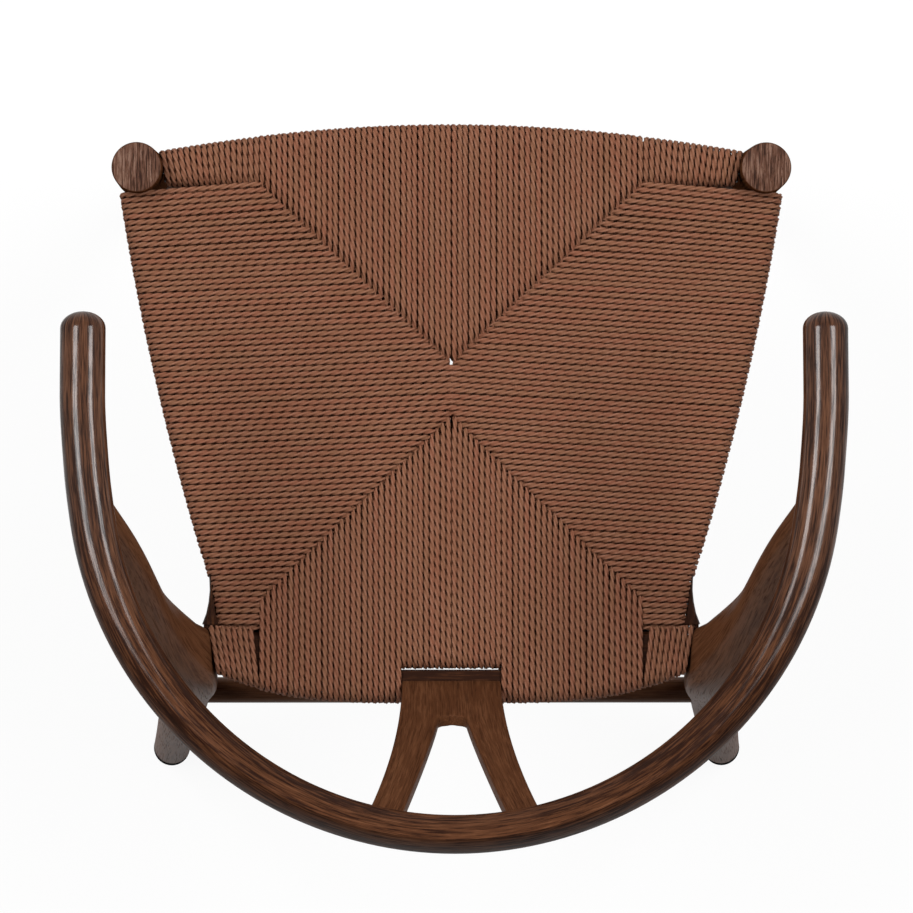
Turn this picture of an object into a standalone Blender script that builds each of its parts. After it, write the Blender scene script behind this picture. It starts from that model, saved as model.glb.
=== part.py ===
"""Armchair with a bent arm bow, a forked back splat and a woven cord seat.

Run with: blender --background --python part.py
Metres, +Z up. The chair faces -Y, the sitter's left is +X, and the floor is z = 0.
"""

import math

import bmesh
import bpy
from mathutils import Vector

# Clearance between pieces that touch
GAP = 0.0003

# Finish of each kind of piece: colour, roughness, metallic
STAINED_WOOD = ((0.055, 0.027, 0.016), 0.45, 0.0)
PAPER_CORD = ((0.170, 0.072, 0.043), 0.85, 0.0)
BLACK_PLASTIC = ((0.010, 0.010, 0.011), 0.50, 0.0)

# Cord of the seat
CORD = 0.0036
CORD_PITCH = 0.0041

# Seat rails
RAIL_Z = 0.430
RAIL_THICK = 0.020
RAIL_EDGE_R = 0.007
TENON_THICK = 0.007
TENON_HIGH = 0.014
TENON_EDGE_R = 0.002
TENON_LONG = 0.0115

# Front legs
FRONT_LEG_X = 0.2313
FRONT_LEG_Y = -0.2271
FRONT_LEG_ABOVE_RAIL = 0.0305
FRONT_LEG_TOP_R = 0.0184
FRONT_LEG_BELLY_R = 0.0192
FRONT_LEG_BELLY_BELOW_RAIL = 0.0450
FRONT_LEG_FOOT_R = 0.0130
FRONT_LEG_EDGE_R = 0.0022

# Front seat rail
FRONT_RAIL_END_WIDE = 0.0190
FRONT_RAIL_BOW = 0.0195

# Back legs
KNEE_X = 0.1900
KNEE_Y = 0.1372
KNEE_HALF_X = 0.0192
KNEE_HALF_Y = 0.0220
KNEE_BLEND = 0.040
BACK_FOOT_X = 0.2224
BACK_FOOT_Y = 0.2218
BACK_FOOT_R = 0.0145
SHIN_R = 0.0178
UPPER_LEG_OUT_BOW = 0.0070
UPPER_LEG_HALF_THICK = 0.0165
UPPER_LEG_HALF_DEEP = 0.0205
UPPER_LEG_WIDEST_SHARE = 0.40
LEG_TIP_R = 0.0130
LEG_TIP_HALF_DEEP = 0.0140
LEG_TIP_INSIDE_BOW = 0.0020
LEG_SWAY = 0.0040
LEG_TIP_BELOW_BOW = 0.0040
ARM_LEG_Y = 0.0220

# Back seat rail, and the slot in it that the cord passes through
BACK_RAIL_END_WIDE = 0.0249
BACK_RAIL_BOW = 0.0253
BACK_RAIL_BOW_POWER = 3
BACK_SLOT_WIDE = 0.0062
BACK_SLOT_TO_SPLAT = 0.0081

# Side seat rails, with a flared heel and a slot at the rear end
SIDE_RAIL_WIDE = 0.0220
SIDE_RAIL_FRONT_OUTER_X = 0.2408
SIDE_RAIL_REAR_OUTER_X = 0.1645
SIDE_RAIL_BOW = 0.0068
HEEL_LONG = 0.0500
HEEL_WAIST_X = 0.1780
HEEL_FLARE = 0.0060
HEEL_FLARE_POWER = 4
HEEL_TENON_THICK = 0.0050
HEEL_TENON_INSET = 0.0012
HEEL_SLOT_LONG = 0.0320
HEEL_SLOT_END = 0.0045
HEEL_SLOT_FRONT_X = 0.1733
HEEL_SLOT_REAR_X = 0.1690

# Woven seat: where the panels meet
WEAVE_HALF_WIDE = 0.1415
WEAVE_FRONT_APEX_Y = -0.0841
WEAVE_BACK_APEX_Y = -0.0451
WEAVE_FRONT_CORNER_Y = -0.2143
WEAVE_BACK_CORNER_Y = 0.0887

# Arm bow
BOW_R = 0.2541
BOW_CENTRE_Y = -0.0082
ARM_LONG = 0.0958
ARM_FLARE = 0.0050
ARM_FLARE_START_Y = 0.0300
ARM_FLARE_LONG = 0.0900
ARM_HALF_WIDE = 0.0159
ARM_HALF_HIGH = 0.0142
ARM_TIP_LONG = 0.0120
ARM_TIP_FLAT = math.radians(7)
ARM_Z = 0.6860
BOW_BACK_Z = 0.7380
BOW_BACK_HALF_THICK = 0.0136
BOW_BACK_HALF_HIGH = 0.0215
BOW_BACK_LEAN = math.radians(2)
BOW_ROUND_ANGLE = math.radians(84)
BOW_TALL_ANGLE = math.radians(12)

# Forked splat
SPLAT_THICK = 0.0085
SPLAT_BASE_HALF = 0.0365
SPLAT_TOP_HALF = 0.0643
SPLAT_FORK_HALF = 0.0086
SPLAT_FORK_TOP_HALF = 0.0388
SPLAT_FORK_UP = 0.0690
SPLAT_FORK_POWER = 1.14
SPLAT_SIDE_POWER = 1.9
SPLAT_TENON_LONG = 0.0130
SPLAT_TENON_INSET = 0.0030
SPLAT_TOP_BELOW_BOW = 0.0090

# Stretchers
STRETCHER_THICK = 0.0195
STRETCHER_HIGH = 0.0280
STRETCHER_TAPER = 0.18
STRETCHER_TENON_R = 0.0050
STRETCHER_TENON_LONG = 0.0120
BACK_STRETCHER_Z = 0.3000
FRONT_STRETCHER_Z = 0.3000

# Foot glides
GLIDE_R = 0.0110
GLIDE_FACE_R = 0.0090
GLIDE_EDGE_HIGH = 0.0020
GLIDE_THICK = 0.0050
GLIDE_STEM_R = 0.0022
GLIDE_STEM_LONG = 0.0120
GLIDE_POINT_LONG = 0.0030

# How boxy a section is: 2 is an ellipse, less has a soft ridge
ROUND = 2.0
SHIN_BOXY = 2.3
KNEE_BOXY = 5.0
UPPER_LEG_BOXY = 2.6
LEG_TIP_BOXY = 2.2
ARM_BOXY = 2.2
BOW_BACK_BOXY = 1.6
STRETCHER_BOXY = 2.4

# Mesh fineness
TURN_STEPS = 20
OVAL_POINTS = 16
CORNER_STEPS = 3
TAPER_STEPS = 8
SHIN_STEPS = 6
KNEE_STEPS = 3
UPPER_LEG_STEPS = 6
RAIL_STEPS = 12
SIDE_RAIL_STEPS = 6
HEEL_STEPS = 6
BOW_ARC_STEPS = 28
ARM_STEPS = 3
ARM_TIP_STEPS = 4
SPLAT_STEPS = 8
STRETCHER_STEPS = 6
WEAVE_STEPS = 6
GAP_SAMPLES = 4
SMOOTH_ANGLE = math.radians(35)
MERGE = 0.000001

# Heights and faces that follow from the sizes above
RAIL_TOP_Z = RAIL_Z + RAIL_THICK / 2
RAIL_BOTTOM_Z = RAIL_Z - RAIL_THICK / 2
WRAP = GAP + CORD
LEG_BOTTOM_Z = GLIDE_THICK + GAP
FRONT_LEG_TOP_Z = RAIL_Z + FRONT_LEG_ABOVE_RAIL
FRONT_LEG_BELLY_Z = RAIL_Z - FRONT_LEG_BELLY_BELOW_RAIL
FRONT_RAIL_REAR_Y = FRONT_LEG_Y + FRONT_RAIL_END_WIDE / 2
FRONT_RAIL_HALF_LONG = FRONT_LEG_X - FRONT_LEG_BELLY_R - GAP
SIDE_RAIL_FRONT_Y = FRONT_LEG_Y + FRONT_LEG_BELLY_R + GAP
ARM_TIP_Y = BOW_CENTRE_Y - ARM_LONG


def smooth(t):
    """Ease from 0 to 1."""
    t = min(1.0, max(0.0, t))
    return t * t * (3 - 2 * t)


def arch(t):
    """Rise from 0 to 1 and back."""
    return 4 * t * (1 - t)


def mix(a, b, t):
    return a + (b - a) * t


def through(stations, z):
    """Read a smooth value at height z from (height, value) stations."""
    for (z0, v0), (z1, v1) in zip(stations, stations[1:]):
        if z <= z1:
            return mix(v0, v1, smooth((z - z0) / (z1 - z0)))
    return stations[-1][1]


# Arm bow in space

def bow_height(y):
    """Height of the bow's middle line at a depth y."""
    back_y = BOW_CENTRE_Y + BOW_R
    return mix(ARM_Z, BOW_BACK_Z, (y - ARM_TIP_Y) / (back_y - ARM_TIP_Y))


def arm_flare(y):
    """How far the arms spread past the bow's circle at a depth y."""
    return ARM_FLARE * smooth((ARM_FLARE_START_Y - y) / ARM_FLARE_LONG)


def bow_arc_point(angle):
    """Middle of the bow at an angle from its rearmost point."""
    y = BOW_CENTRE_Y + BOW_R * math.cos(angle)
    x = BOW_R * math.sin(angle) + math.copysign(arm_flare(y), angle)
    return Vector((x, y, bow_height(y)))


def bow_at_depth(y):
    """Middle of the left half of the bow at a depth y behind its centre."""
    return bow_arc_point(math.acos((y - BOW_CENTRE_Y) / BOW_R))


# Back legs in space

LEG_TIP = bow_at_depth(ARM_LEG_Y) - Vector((LEG_TIP_INSIDE_BOW, 0, LEG_TIP_BELOW_BOW))


def knee_bend(z, lower, corner, upper, low_z, high_z):
    """Two straight limbs from low_z to high_z, rounded where they meet at the seat."""
    below = (corner - lower) / (RAIL_Z - low_z)
    above = (upper - corner) / (high_z - RAIL_Z)
    s = z - RAIL_Z
    if s <= -KNEE_BLEND:
        turned = 0.0
    elif s >= KNEE_BLEND:
        turned = s
    else:
        turned = (s + KNEE_BLEND) ** 2 / (4 * KNEE_BLEND)
    return corner + below * s + (above - below) * turned


def back_leg_centre(z):
    """Middle of the left back leg at a height z."""
    share = max(0.0, (z - RAIL_Z) / (LEG_TIP.z - RAIL_Z))
    x = knee_bend(z, BACK_FOOT_X, KNEE_X, LEG_TIP.x, 0.0, LEG_TIP.z)
    y = knee_bend(z, BACK_FOOT_Y, KNEE_Y, LEG_TIP.y, 0.0, LEG_TIP.z)
    sweep = UPPER_LEG_OUT_BOW * arch(share) + LEG_SWAY * math.sin(math.tau * share)
    return Vector((x + sweep, y, z))


def least_leg_centre(middle_z, tall):
    """Innermost x and foremost y of the left back leg's middle line over a joint's height."""
    levels = (middle_z - tall / 2, middle_z, middle_z + tall / 2)
    return [min(back_leg_centre(z)[axis] for z in levels) for axis in (0, 1)]


KNEE = back_leg_centre(RAIL_Z)
KNEE_LEAST_X, KNEE_LEAST_Y = least_leg_centre(RAIL_Z, RAIL_THICK)
KNEE_INNER_X = KNEE_LEAST_X - KNEE_HALF_X
KNEE_FRONT_Y = KNEE_LEAST_Y - KNEE_HALF_Y
SIDE_RAIL_REAR_Y = KNEE_FRONT_Y - GAP
BACK_RAIL_FRONT_Y = SIDE_RAIL_REAR_Y + CORD + 3 * GAP
BACK_RAIL_HALF_LONG = KNEE_INNER_X - GAP
BACK_RAIL_MID_REAR_Y = BACK_RAIL_FRONT_Y + BACK_RAIL_END_WIDE + BACK_RAIL_BOW

# Splat and slot in the back rail
SPLAT_FOOT_Y = BACK_RAIL_MID_REAR_Y - SPLAT_THICK
SPLAT_HEAD = bow_arc_point(0.0)
SPLAT_LEAN = math.atan2(SPLAT_HEAD.y - SPLAT_FOOT_Y, SPLAT_HEAD.z - RAIL_TOP_Z)
SPLAT_LONG = (SPLAT_HEAD.z - RAIL_TOP_Z) / math.cos(SPLAT_LEAN)
BACK_SLOT_REAR_Y = SPLAT_FOOT_Y - SPLAT_THICK / 2 - BACK_SLOT_TO_SPLAT
BACK_SLOT_FRONT_Y = BACK_SLOT_REAR_Y - BACK_SLOT_WIDE
BACK_SLOT_HALF = SPLAT_BASE_HALF + GAP


# Outlines of the rails in plan

def front_rail_front(x):
    """Front edge of the front rail, bowed towards the front."""
    share = 1 - (x / FRONT_RAIL_HALF_LONG) ** 2
    return FRONT_RAIL_REAR_Y - FRONT_RAIL_END_WIDE - FRONT_RAIL_BOW * share


def back_rail_rear(x):
    """Rear edge of the back rail, bowed towards the back."""
    share = 1 - abs(x / BACK_RAIL_HALF_LONG) ** BACK_RAIL_BOW_POWER
    return BACK_RAIL_FRONT_Y + BACK_RAIL_END_WIDE + BACK_RAIL_BOW * share


def side_bar_outer(y):
    """Outer edge of the left side rail's bar, without the heel."""
    t = (y - SIDE_RAIL_FRONT_Y) / (SIDE_RAIL_REAR_Y - SIDE_RAIL_FRONT_Y)
    return mix(SIDE_RAIL_FRONT_OUTER_X, SIDE_RAIL_REAR_OUTER_X, t) + SIDE_RAIL_BOW * arch(t)


HEEL_START_Y = SIDE_RAIL_REAR_Y - HEEL_LONG
HEEL_SLOT_REAR_Y = SIDE_RAIL_REAR_Y - HEEL_SLOT_END
HEEL_SLOT_FRONT_Y = HEEL_SLOT_REAR_Y - HEEL_SLOT_LONG
HEEL_SLOT_WIDE = CORD + 3 * GAP


def side_rail_outer(y):
    """Outer edge of the left side rail: the bar, then the heel that flares to the leg."""
    if y <= HEEL_START_Y:
        return side_bar_outer(y)
    t = (y - HEEL_START_Y) / HEEL_LONG
    waist = mix(side_bar_outer(HEEL_START_Y), HEEL_WAIST_X, smooth(2 * t))
    return waist + HEEL_FLARE * t ** HEEL_FLARE_POWER


def side_rail_inner(y):
    return side_bar_outer(y) - SIDE_RAIL_WIDE


def heel_slot_inner(y):
    """Inner wall of the slot in the left side rail, which its rear strands fold round."""
    t = (y - HEEL_SLOT_FRONT_Y) / HEEL_SLOT_LONG
    return mix(HEEL_SLOT_FRONT_X, HEEL_SLOT_REAR_X, t)


# Modelling helpers

def clear_scene():
    for old in list(bpy.data.objects):
        bpy.data.objects.remove(old, do_unlink=True)


def make_material(name, finish):
    colour, roughness, metallic = finish
    material = bpy.data.materials.new(name)
    material.use_nodes = True
    shader = material.node_tree.nodes["Principled BSDF"]
    shader.inputs["Base Color"].default_value = (*colour, 1.0)
    shader.inputs["Roughness"].default_value = roughness
    shader.inputs["Metallic"].default_value = metallic
    material.diffuse_color = (*colour, 1.0)
    return material


def add_object(name, data, finish=None):
    """Link an object with a material of its own, as a child of the chair's empty."""
    obj = bpy.data.objects.new(name, data)
    bpy.context.scene.collection.objects.link(obj)
    obj.parent = bpy.data.objects["chair"]
    if finish:
        data.materials.append(make_material(name + "_finish", finish))
    return obj


def as_cutter(obj):
    obj.hide_render = True
    obj.display_type = "WIRE"
    return obj


def cut(obj, cutter):
    """Take the cutter's shape out of an object."""
    modifier = obj.modifiers.new("cut_" + cutter.name, "BOOLEAN")
    modifier.operation = "DIFFERENCE"
    modifier.solver = "EXACT"
    modifier.object = cutter


def finish_mesh(name, bm, finish):
    bmesh.ops.recalc_face_normals(bm, faces=bm.faces)
    mesh = bpy.data.meshes.new(name)
    bm.to_mesh(mesh)
    bm.free()
    mesh.shade_smooth()
    mesh.set_sharp_from_angle(angle=SMOOTH_ANGLE)
    return add_object(name, mesh, finish)


def loft(name, rings, finish=None):
    """Solid through a row of rings with equal point counts, extruded from one to the next."""
    bm = bmesh.new()
    face = bm.faces.new([bm.verts.new(p) for p in rings[0]])
    for ring in rings[1:]:
        face = bmesh.ops.extrude_discrete_faces(bm, faces=[face])["faces"][0]
        for vertex, point in zip(face.verts, ring):
            vertex.co = point
    bmesh.ops.holes_fill(bm, edges=bm.edges, sides=0)
    return finish_mesh(name, bm, finish)


def turn(name, profile, finish=None):
    """Solid of revolution about Z from (radius, height) points, from its base to its top."""
    bm = bmesh.new()
    verts = [bm.verts.new((r, 0, z)) for r, z in profile]
    edges = [bm.edges.new(pair) for pair in zip(verts, verts[1:])]
    bmesh.ops.spin(
        bm, geom=verts + edges, cent=(0, 0, 0), axis=(0, 0, 1),
        angle=math.tau, steps=TURN_STEPS, use_merge=True,
    )
    bmesh.ops.remove_doubles(bm, verts=bm.verts, dist=MERGE)
    return finish_mesh(name, bm, finish)


def prism(name, plan, low_z, high_z):
    """Upright prism over a plan outline, used as a cutter."""
    rings = [[(x, y, z) for x, y in plan] for z in (low_z, high_z)]
    return as_cutter(loft(name, rings))


def corner_arc(centre_u, centre_v, radius, start):
    """Points of a quarter round, from the angle start, counter-clockwise."""
    points = []
    for i in range(CORNER_STEPS + 1):
        angle = start + math.pi / 2 * i / CORNER_STEPS
        points.append((centre_u + radius * math.cos(angle), centre_v + radius * math.sin(angle)))
    return points


def rounded_box(low_u, high_u, low_v, high_v, radius):
    """Rectangle with round corners, counter-clockwise from the middle of its right side."""
    quarters = (
        (high_u - radius, high_v - radius, 0.0),
        (low_u + radius, high_v - radius, math.pi / 2),
        (low_u + radius, low_v + radius, math.pi),
        (high_u - radius, low_v + radius, 3 * math.pi / 2),
    )
    return [p for u, v, start in quarters for p in corner_arc(u, v, radius, start)]


def oval(half_u, half_v, power):
    """Superellipse: power 2 is an ellipse, more is boxier."""
    points = []
    for i in range(OVAL_POINTS):
        angle = math.tau * i / OVAL_POINTS
        c, s = math.cos(angle), math.sin(angle)
        points.append((
            math.copysign(abs(c) ** (2 / power), c) * half_u,
            math.copysign(abs(s) ** (2 / power), s) * half_v,
        ))
    return points


def rail_section(low, high):
    return rounded_box(low, high, RAIL_BOTTOM_Z, RAIL_TOP_Z, RAIL_EDGE_R)


def tenon_section(middle, grow=0.0, thick=TENON_THICK):
    half = thick / 2 + grow
    tall = TENON_HIGH / 2 + grow
    return rounded_box(middle - half, middle + half, RAIL_Z - tall, RAIL_Z + tall, TENON_EDGE_R)


def along_x(x, section):
    return [(x, u, v) for u, v in section]


def along_y(y, section, side):
    return [(side * u, y, v) for u, v in section]


def steps(start, end, count):
    return [mix(start, end, i / count) for i in range(count + 1)]


# Wooden pieces

def front_leg_radius(z):
    """Radius of a front leg between its foot and its belly."""
    foot_z = LEG_BOTTOM_Z + FRONT_LEG_EDGE_R
    t = (z - foot_z) / (FRONT_LEG_BELLY_Z - foot_z)
    return mix(FRONT_LEG_FOOT_R, FRONT_LEG_BELLY_R, math.sin(t * math.pi / 2))


def make_front_leg(name, side):
    """Turned leg, thickest under the seat, with a slightly eased round top."""
    profile = [(0, LEG_BOTTOM_Z), (FRONT_LEG_FOOT_R - FRONT_LEG_EDGE_R, LEG_BOTTOM_Z)]
    foot_z = LEG_BOTTOM_Z + FRONT_LEG_EDGE_R
    profile += [(front_leg_radius(z), z) for z in steps(foot_z, FRONT_LEG_BELLY_Z, TAPER_STEPS)]
    edge = FRONT_LEG_EDGE_R
    profile += corner_arc(FRONT_LEG_TOP_R - edge, FRONT_LEG_TOP_Z - edge, edge, 0.0)
    profile.append((0, FRONT_LEG_TOP_Z))
    leg = turn(name, profile, STAINED_WOOD)
    leg.location = (side * FRONT_LEG_X, FRONT_LEG_Y, 0)
    return leg


def back_leg_rings(side, grow=0.0):
    """Level sections of a back leg, turned to follow its sweep towards the arm."""
    seat_z, tip_z = RAIL_Z, LEG_TIP.z
    mid_z = mix(seat_z, tip_z, UPPER_LEG_WIDEST_SHARE)
    thick = (
        (0, BACK_FOOT_R), (BACK_STRETCHER_Z, SHIN_R), (seat_z, KNEE_HALF_X),
        (mid_z, UPPER_LEG_HALF_THICK), (tip_z, LEG_TIP_R),
    )
    deep = (
        (0, BACK_FOOT_R), (BACK_STRETCHER_Z, SHIN_R), (seat_z, KNEE_HALF_Y),
        (mid_z, UPPER_LEG_HALF_DEEP), (tip_z, LEG_TIP_HALF_DEEP),
    )
    boxy = (
        (0, ROUND), (BACK_STRETCHER_Z, SHIN_BOXY), (seat_z, KNEE_BOXY),
        (seat_z + KNEE_BLEND / 2, UPPER_LEG_BOXY), (mid_z, UPPER_LEG_BOXY), (tip_z, LEG_TIP_BOXY),
    )
    sweep = math.atan2(LEG_TIP.x - KNEE.x, KNEE.y - LEG_TIP.y)
    turned = ((0, 0.0), (seat_z, 0.0), (mid_z, sweep), (tip_z, sweep))
    levels = [LEG_BOTTOM_Z]
    levels += steps(LEG_BOTTOM_Z + FRONT_LEG_EDGE_R, seat_z - KNEE_BLEND, SHIN_STEPS)
    levels += steps(seat_z - KNEE_BLEND / 2, seat_z + KNEE_BLEND, KNEE_STEPS)
    levels += steps(seat_z + KNEE_BLEND, tip_z, UPPER_LEG_STEPS)[1:]
    rings = []
    for z in levels:
        edge = FRONT_LEG_EDGE_R if z == LEG_BOTTOM_Z else 0.0
        centre = back_leg_centre(z)
        angle = through(turned, z)
        c, s = math.cos(angle), math.sin(angle)
        ring = []
        half_u, half_v = through(thick, z) - edge + grow, through(deep, z) - edge + grow
        for u, v in oval(half_u, half_v, through(boxy, z)):
            ring.append((side * (centre.x + u * c - v * s), centre.y + u * s + v * c, z))
        rings.append(ring)
    if grow:
        rings[-1] = [(x, y, z + grow) for x, y, z in rings[-1]]
    return rings


def front_rail_rings():
    middle = FRONT_LEG_Y
    ends = (FRONT_RAIL_HALF_LONG, FRONT_RAIL_HALF_LONG + TENON_LONG)
    rings = [along_x(-ends[1], tenon_section(middle)), along_x(-ends[0], tenon_section(middle))]
    for x in steps(-ends[0], ends[0], RAIL_STEPS):
        rings.append(along_x(x, rail_section(front_rail_front(x), FRONT_RAIL_REAR_Y)))
    rings += [along_x(ends[0], tenon_section(middle)), along_x(ends[1], tenon_section(middle))]
    return rings


def back_rail_tenon_y():
    return BACK_RAIL_FRONT_Y + BACK_RAIL_END_WIDE / 2


def back_rail_rings():
    middle = back_rail_tenon_y()
    ends = (BACK_RAIL_HALF_LONG, BACK_RAIL_HALF_LONG + TENON_LONG)
    rings = [along_x(-ends[1], tenon_section(middle)), along_x(-ends[0], tenon_section(middle))]
    for x in steps(-ends[0], ends[0], RAIL_STEPS):
        rings.append(along_x(x, rail_section(BACK_RAIL_FRONT_Y, back_rail_rear(x))))
    rings += [along_x(ends[0], tenon_section(middle)), along_x(ends[1], tenon_section(middle))]
    return rings


def side_rear_tenon_x():
    return side_rail_outer(SIDE_RAIL_REAR_Y) - HEEL_TENON_INSET - HEEL_TENON_THICK / 2


def side_rail_rings(side):
    front_x = FRONT_LEG_X
    front, rear = SIDE_RAIL_FRONT_Y, SIDE_RAIL_REAR_Y
    rear_tenon = tenon_section(side_rear_tenon_x(), thick=HEEL_TENON_THICK)
    rings = [
        along_y(front - TENON_LONG, tenon_section(front_x), side),
        along_y(front, tenon_section(front_x), side),
    ]
    for y in steps(front, HEEL_START_Y, SIDE_RAIL_STEPS) + steps(HEEL_START_Y, rear, HEEL_STEPS)[1:]:
        rings.append(along_y(y, rail_section(side_rail_inner(y), side_rail_outer(y)), side))
    rings.append(along_y(rear, rear_tenon, side))
    rings.append(along_y(rear + TENON_LONG, rear_tenon, side))
    return rings


def mortise_along_x(name, side, x, y):
    """Cutter for a rail's tenon that enters a leg sideways."""
    ends = (x - TENON_LONG, x + TENON_LONG + GAP)
    return as_cutter(loft(name, [along_x(side * e, tenon_section(y, GAP)) for e in ends]))


def mortise_along_y(name, side, x, y, way, thick):
    """Cutter for a side rail's tenon that enters a leg from the seat."""
    ends = (y - way * TENON_LONG, y + way * (TENON_LONG + GAP))
    return as_cutter(loft(name, [along_y(e, tenon_section(x, GAP, thick), side) for e in ends]))


def heel_slot(name, side):
    """Cutter for the slot between a side rail's bar and its heel."""
    plan = []
    for y in (HEEL_SLOT_FRONT_Y, HEEL_SLOT_REAR_Y):
        plan.append((side * heel_slot_inner(y), y))
    for y in (HEEL_SLOT_REAR_Y, HEEL_SLOT_FRONT_Y):
        plan.append((side * (heel_slot_inner(y) + HEEL_SLOT_WIDE), y))
    return prism(name, plan, RAIL_BOTTOM_Z - RAIL_THICK, RAIL_TOP_Z + RAIL_THICK)


def back_slot(name):
    """Cutter for the slot in the back rail, in front of the splat."""
    plan = [
        (-BACK_SLOT_HALF, BACK_SLOT_FRONT_Y), (BACK_SLOT_HALF, BACK_SLOT_FRONT_Y),
        (BACK_SLOT_HALF, BACK_SLOT_REAR_Y), (-BACK_SLOT_HALF, BACK_SLOT_REAR_Y),
    ]
    return prism(name, plan, RAIL_BOTTOM_Z - RAIL_THICK, RAIL_TOP_Z + RAIL_THICK)


def bow_section(share, scale=1.0):
    """Bow section (outward, up): round on the arms, tall, leaning and softly ridged at the back."""
    half_thick = mix(ARM_HALF_WIDE, BOW_BACK_HALF_THICK, share) * scale
    half_high = mix(ARM_HALF_HIGH, BOW_BACK_HALF_HIGH, share) * scale
    lean = BOW_BACK_LEAN * share
    c, s = math.cos(lean), math.sin(lean)
    section = oval(half_thick, half_high, mix(ARM_BOXY, BOW_BACK_BOXY, share))
    return [(u * c + v * s, v * c - u * s) for u, v in section]


def bow_rings():
    """Rings from the right arm's tip, round the back, to the left arm's tip."""
    stations = []
    for angle in steps(ARM_TIP_FLAT, math.pi / 2, ARM_TIP_STEPS)[:-1]:
        y = ARM_TIP_Y - ARM_TIP_LONG * math.cos(angle)
        stations.append((BOW_R + arm_flare(y), y, math.sin(angle)))
    for y in steps(ARM_TIP_Y, BOW_CENTRE_Y, ARM_STEPS)[:-1]:
        stations.append((BOW_R + arm_flare(y), y, 1.0))
    rings = []
    for x, y, scale in stations:
        section = bow_section(0.0, scale)
        rings.append([(-x - u, y, bow_height(y) + v) for u, v in section])
    for angle in steps(-math.pi / 2, math.pi / 2, BOW_ARC_STEPS):
        share = smooth((BOW_ROUND_ANGLE - abs(angle)) / (BOW_ROUND_ANGLE - BOW_TALL_ANGLE))
        centre = bow_arc_point(angle)
        out_x, out_y = math.sin(angle), math.cos(angle)
        section = bow_section(share)
        rings.append([(centre.x + u * out_x, centre.y + u * out_y, centre.z + v) for u, v in section])
    for x, y, scale in reversed(stations):
        section = bow_section(0.0, scale)
        rings.append([(x + u, y, bow_height(y) + v) for u, v in section])
    return rings


def splat_outline(grow=0.0):
    """Outline (across, up the slope) from the middle of the fork, round the left arm, to the foot."""
    top = SPLAT_LONG - SPLAT_TOP_BELOW_BOW
    fork = SPLAT_FORK_UP
    half = []
    for t in steps(0, 1, SPLAT_STEPS):
        inner = mix(SPLAT_FORK_HALF, SPLAT_FORK_TOP_HALF, t ** SPLAT_FORK_POWER)
        half.append((inner - grow, mix(fork - grow, top + grow, t)))
    for t in steps(1, 0, SPLAT_STEPS):
        outer = mix(SPLAT_BASE_HALF, SPLAT_TOP_HALF, t ** SPLAT_SIDE_POWER)
        half.append((outer + grow, mix(0.0, top + grow, t)))
    tenon_half = SPLAT_BASE_HALF - SPLAT_TENON_INSET
    half.append((tenon_half + grow, 0.0))
    half.append((tenon_half + grow, -SPLAT_TENON_LONG - grow))
    return half


def make_splat(name, finish=None, grow=0.0):
    """Forked board, extruded to its thickness and leaned back against the bow."""
    half = splat_outline(grow)
    outline = half + [(-x, h) for x, h in reversed(half)]
    depth = SPLAT_THICK / 2 + grow
    rings = [[(x, d, h) for x, h in outline] for d in (-depth, depth)]
    splat = loft(name, rings, finish)
    splat.location = (0, SPLAT_FOOT_Y, RAIL_TOP_Z + GAP)
    splat.rotation_euler = (-SPLAT_LEAN, 0, 0)
    return splat


def stretcher_rings(half_long):
    """Bar along X with an upright oval section and round tenons at both ends."""
    tenon = oval(STRETCHER_TENON_R, STRETCHER_TENON_R, ROUND)
    tip = half_long + STRETCHER_TENON_LONG
    rings = [along_x(-tip, tenon), along_x(-half_long, tenon)]
    for x in steps(-half_long, half_long, STRETCHER_STEPS):
        swell = 1 - STRETCHER_TAPER * (x / half_long) ** 2
        section = oval(STRETCHER_THICK / 2, STRETCHER_HIGH / 2 * swell, STRETCHER_BOXY)
        rings.append(along_x(x, section))
    rings += [along_x(half_long, tenon), along_x(tip, tenon)]
    return rings


def stretcher_mortise(name, x, y, z):
    """Cutter for a stretcher's round tenon, long enough for the legs on both sides."""
    reach = x + STRETCHER_TENON_LONG + GAP
    ring = oval(STRETCHER_TENON_R + GAP, STRETCHER_TENON_R + GAP, ROUND)
    cutter = as_cutter(loft(name, [along_x(-reach, ring), along_x(reach, ring)]))
    cutter.location = (0, y, z)
    return cutter


def make_glide(name, x, y):
    """Pad with an eased edge and a stem that is driven into the leg."""
    tip_z = GLIDE_THICK + GLIDE_STEM_LONG
    profile = [
        (0, 0), (GLIDE_FACE_R, 0), (GLIDE_R, GLIDE_EDGE_HIGH), (GLIDE_R, GLIDE_THICK),
        (GLIDE_STEM_R, GLIDE_THICK), (GLIDE_STEM_R, tip_z - GLIDE_POINT_LONG), (0, tip_z),
    ]
    glide = turn(name, profile, BLACK_PLASTIC)
    glide.location = (x, y, 0)
    return glide


def stem_hole(name, x, y):
    """Cutter for the hole that takes a glide's stem."""
    radius, deep = GLIDE_STEM_R + GAP, GLIDE_THICK + GLIDE_STEM_LONG + GAP
    hole = as_cutter(turn(name, [(0, 0), (radius, 0), (radius, deep), (0, deep)]))
    hole.location = (x, y, 0)
    return hole


# Woven cord

def hairpin(edge, tip, way, radius):
    """Section (level, up) of cord folded round a rail, from the seat's top layer to the one below.

    edge is the rail's outer face, tip is where the layers end, and way points from edge to tip.
    """
    path = []
    for offset, backwards in ((WRAP, False), (GAP, True)):
        reach = radius + offset
        run = [(tip, RAIL_TOP_Z + offset)]
        for start in (0, 1):
            centre_v = RAIL_TOP_Z - radius if start == 0 else RAIL_BOTTOM_Z + radius
            for i in range(CORNER_STEPS + 1):
                angle = math.pi / 2 * (start + i / CORNER_STEPS)
                run.append((
                    edge + way * (radius - reach * math.sin(angle)),
                    centre_v + reach * math.cos(angle),
                ))
        run.append((tip, RAIL_BOTTOM_Z - offset))
        path += reversed(run) if backwards else run
    return path


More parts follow.
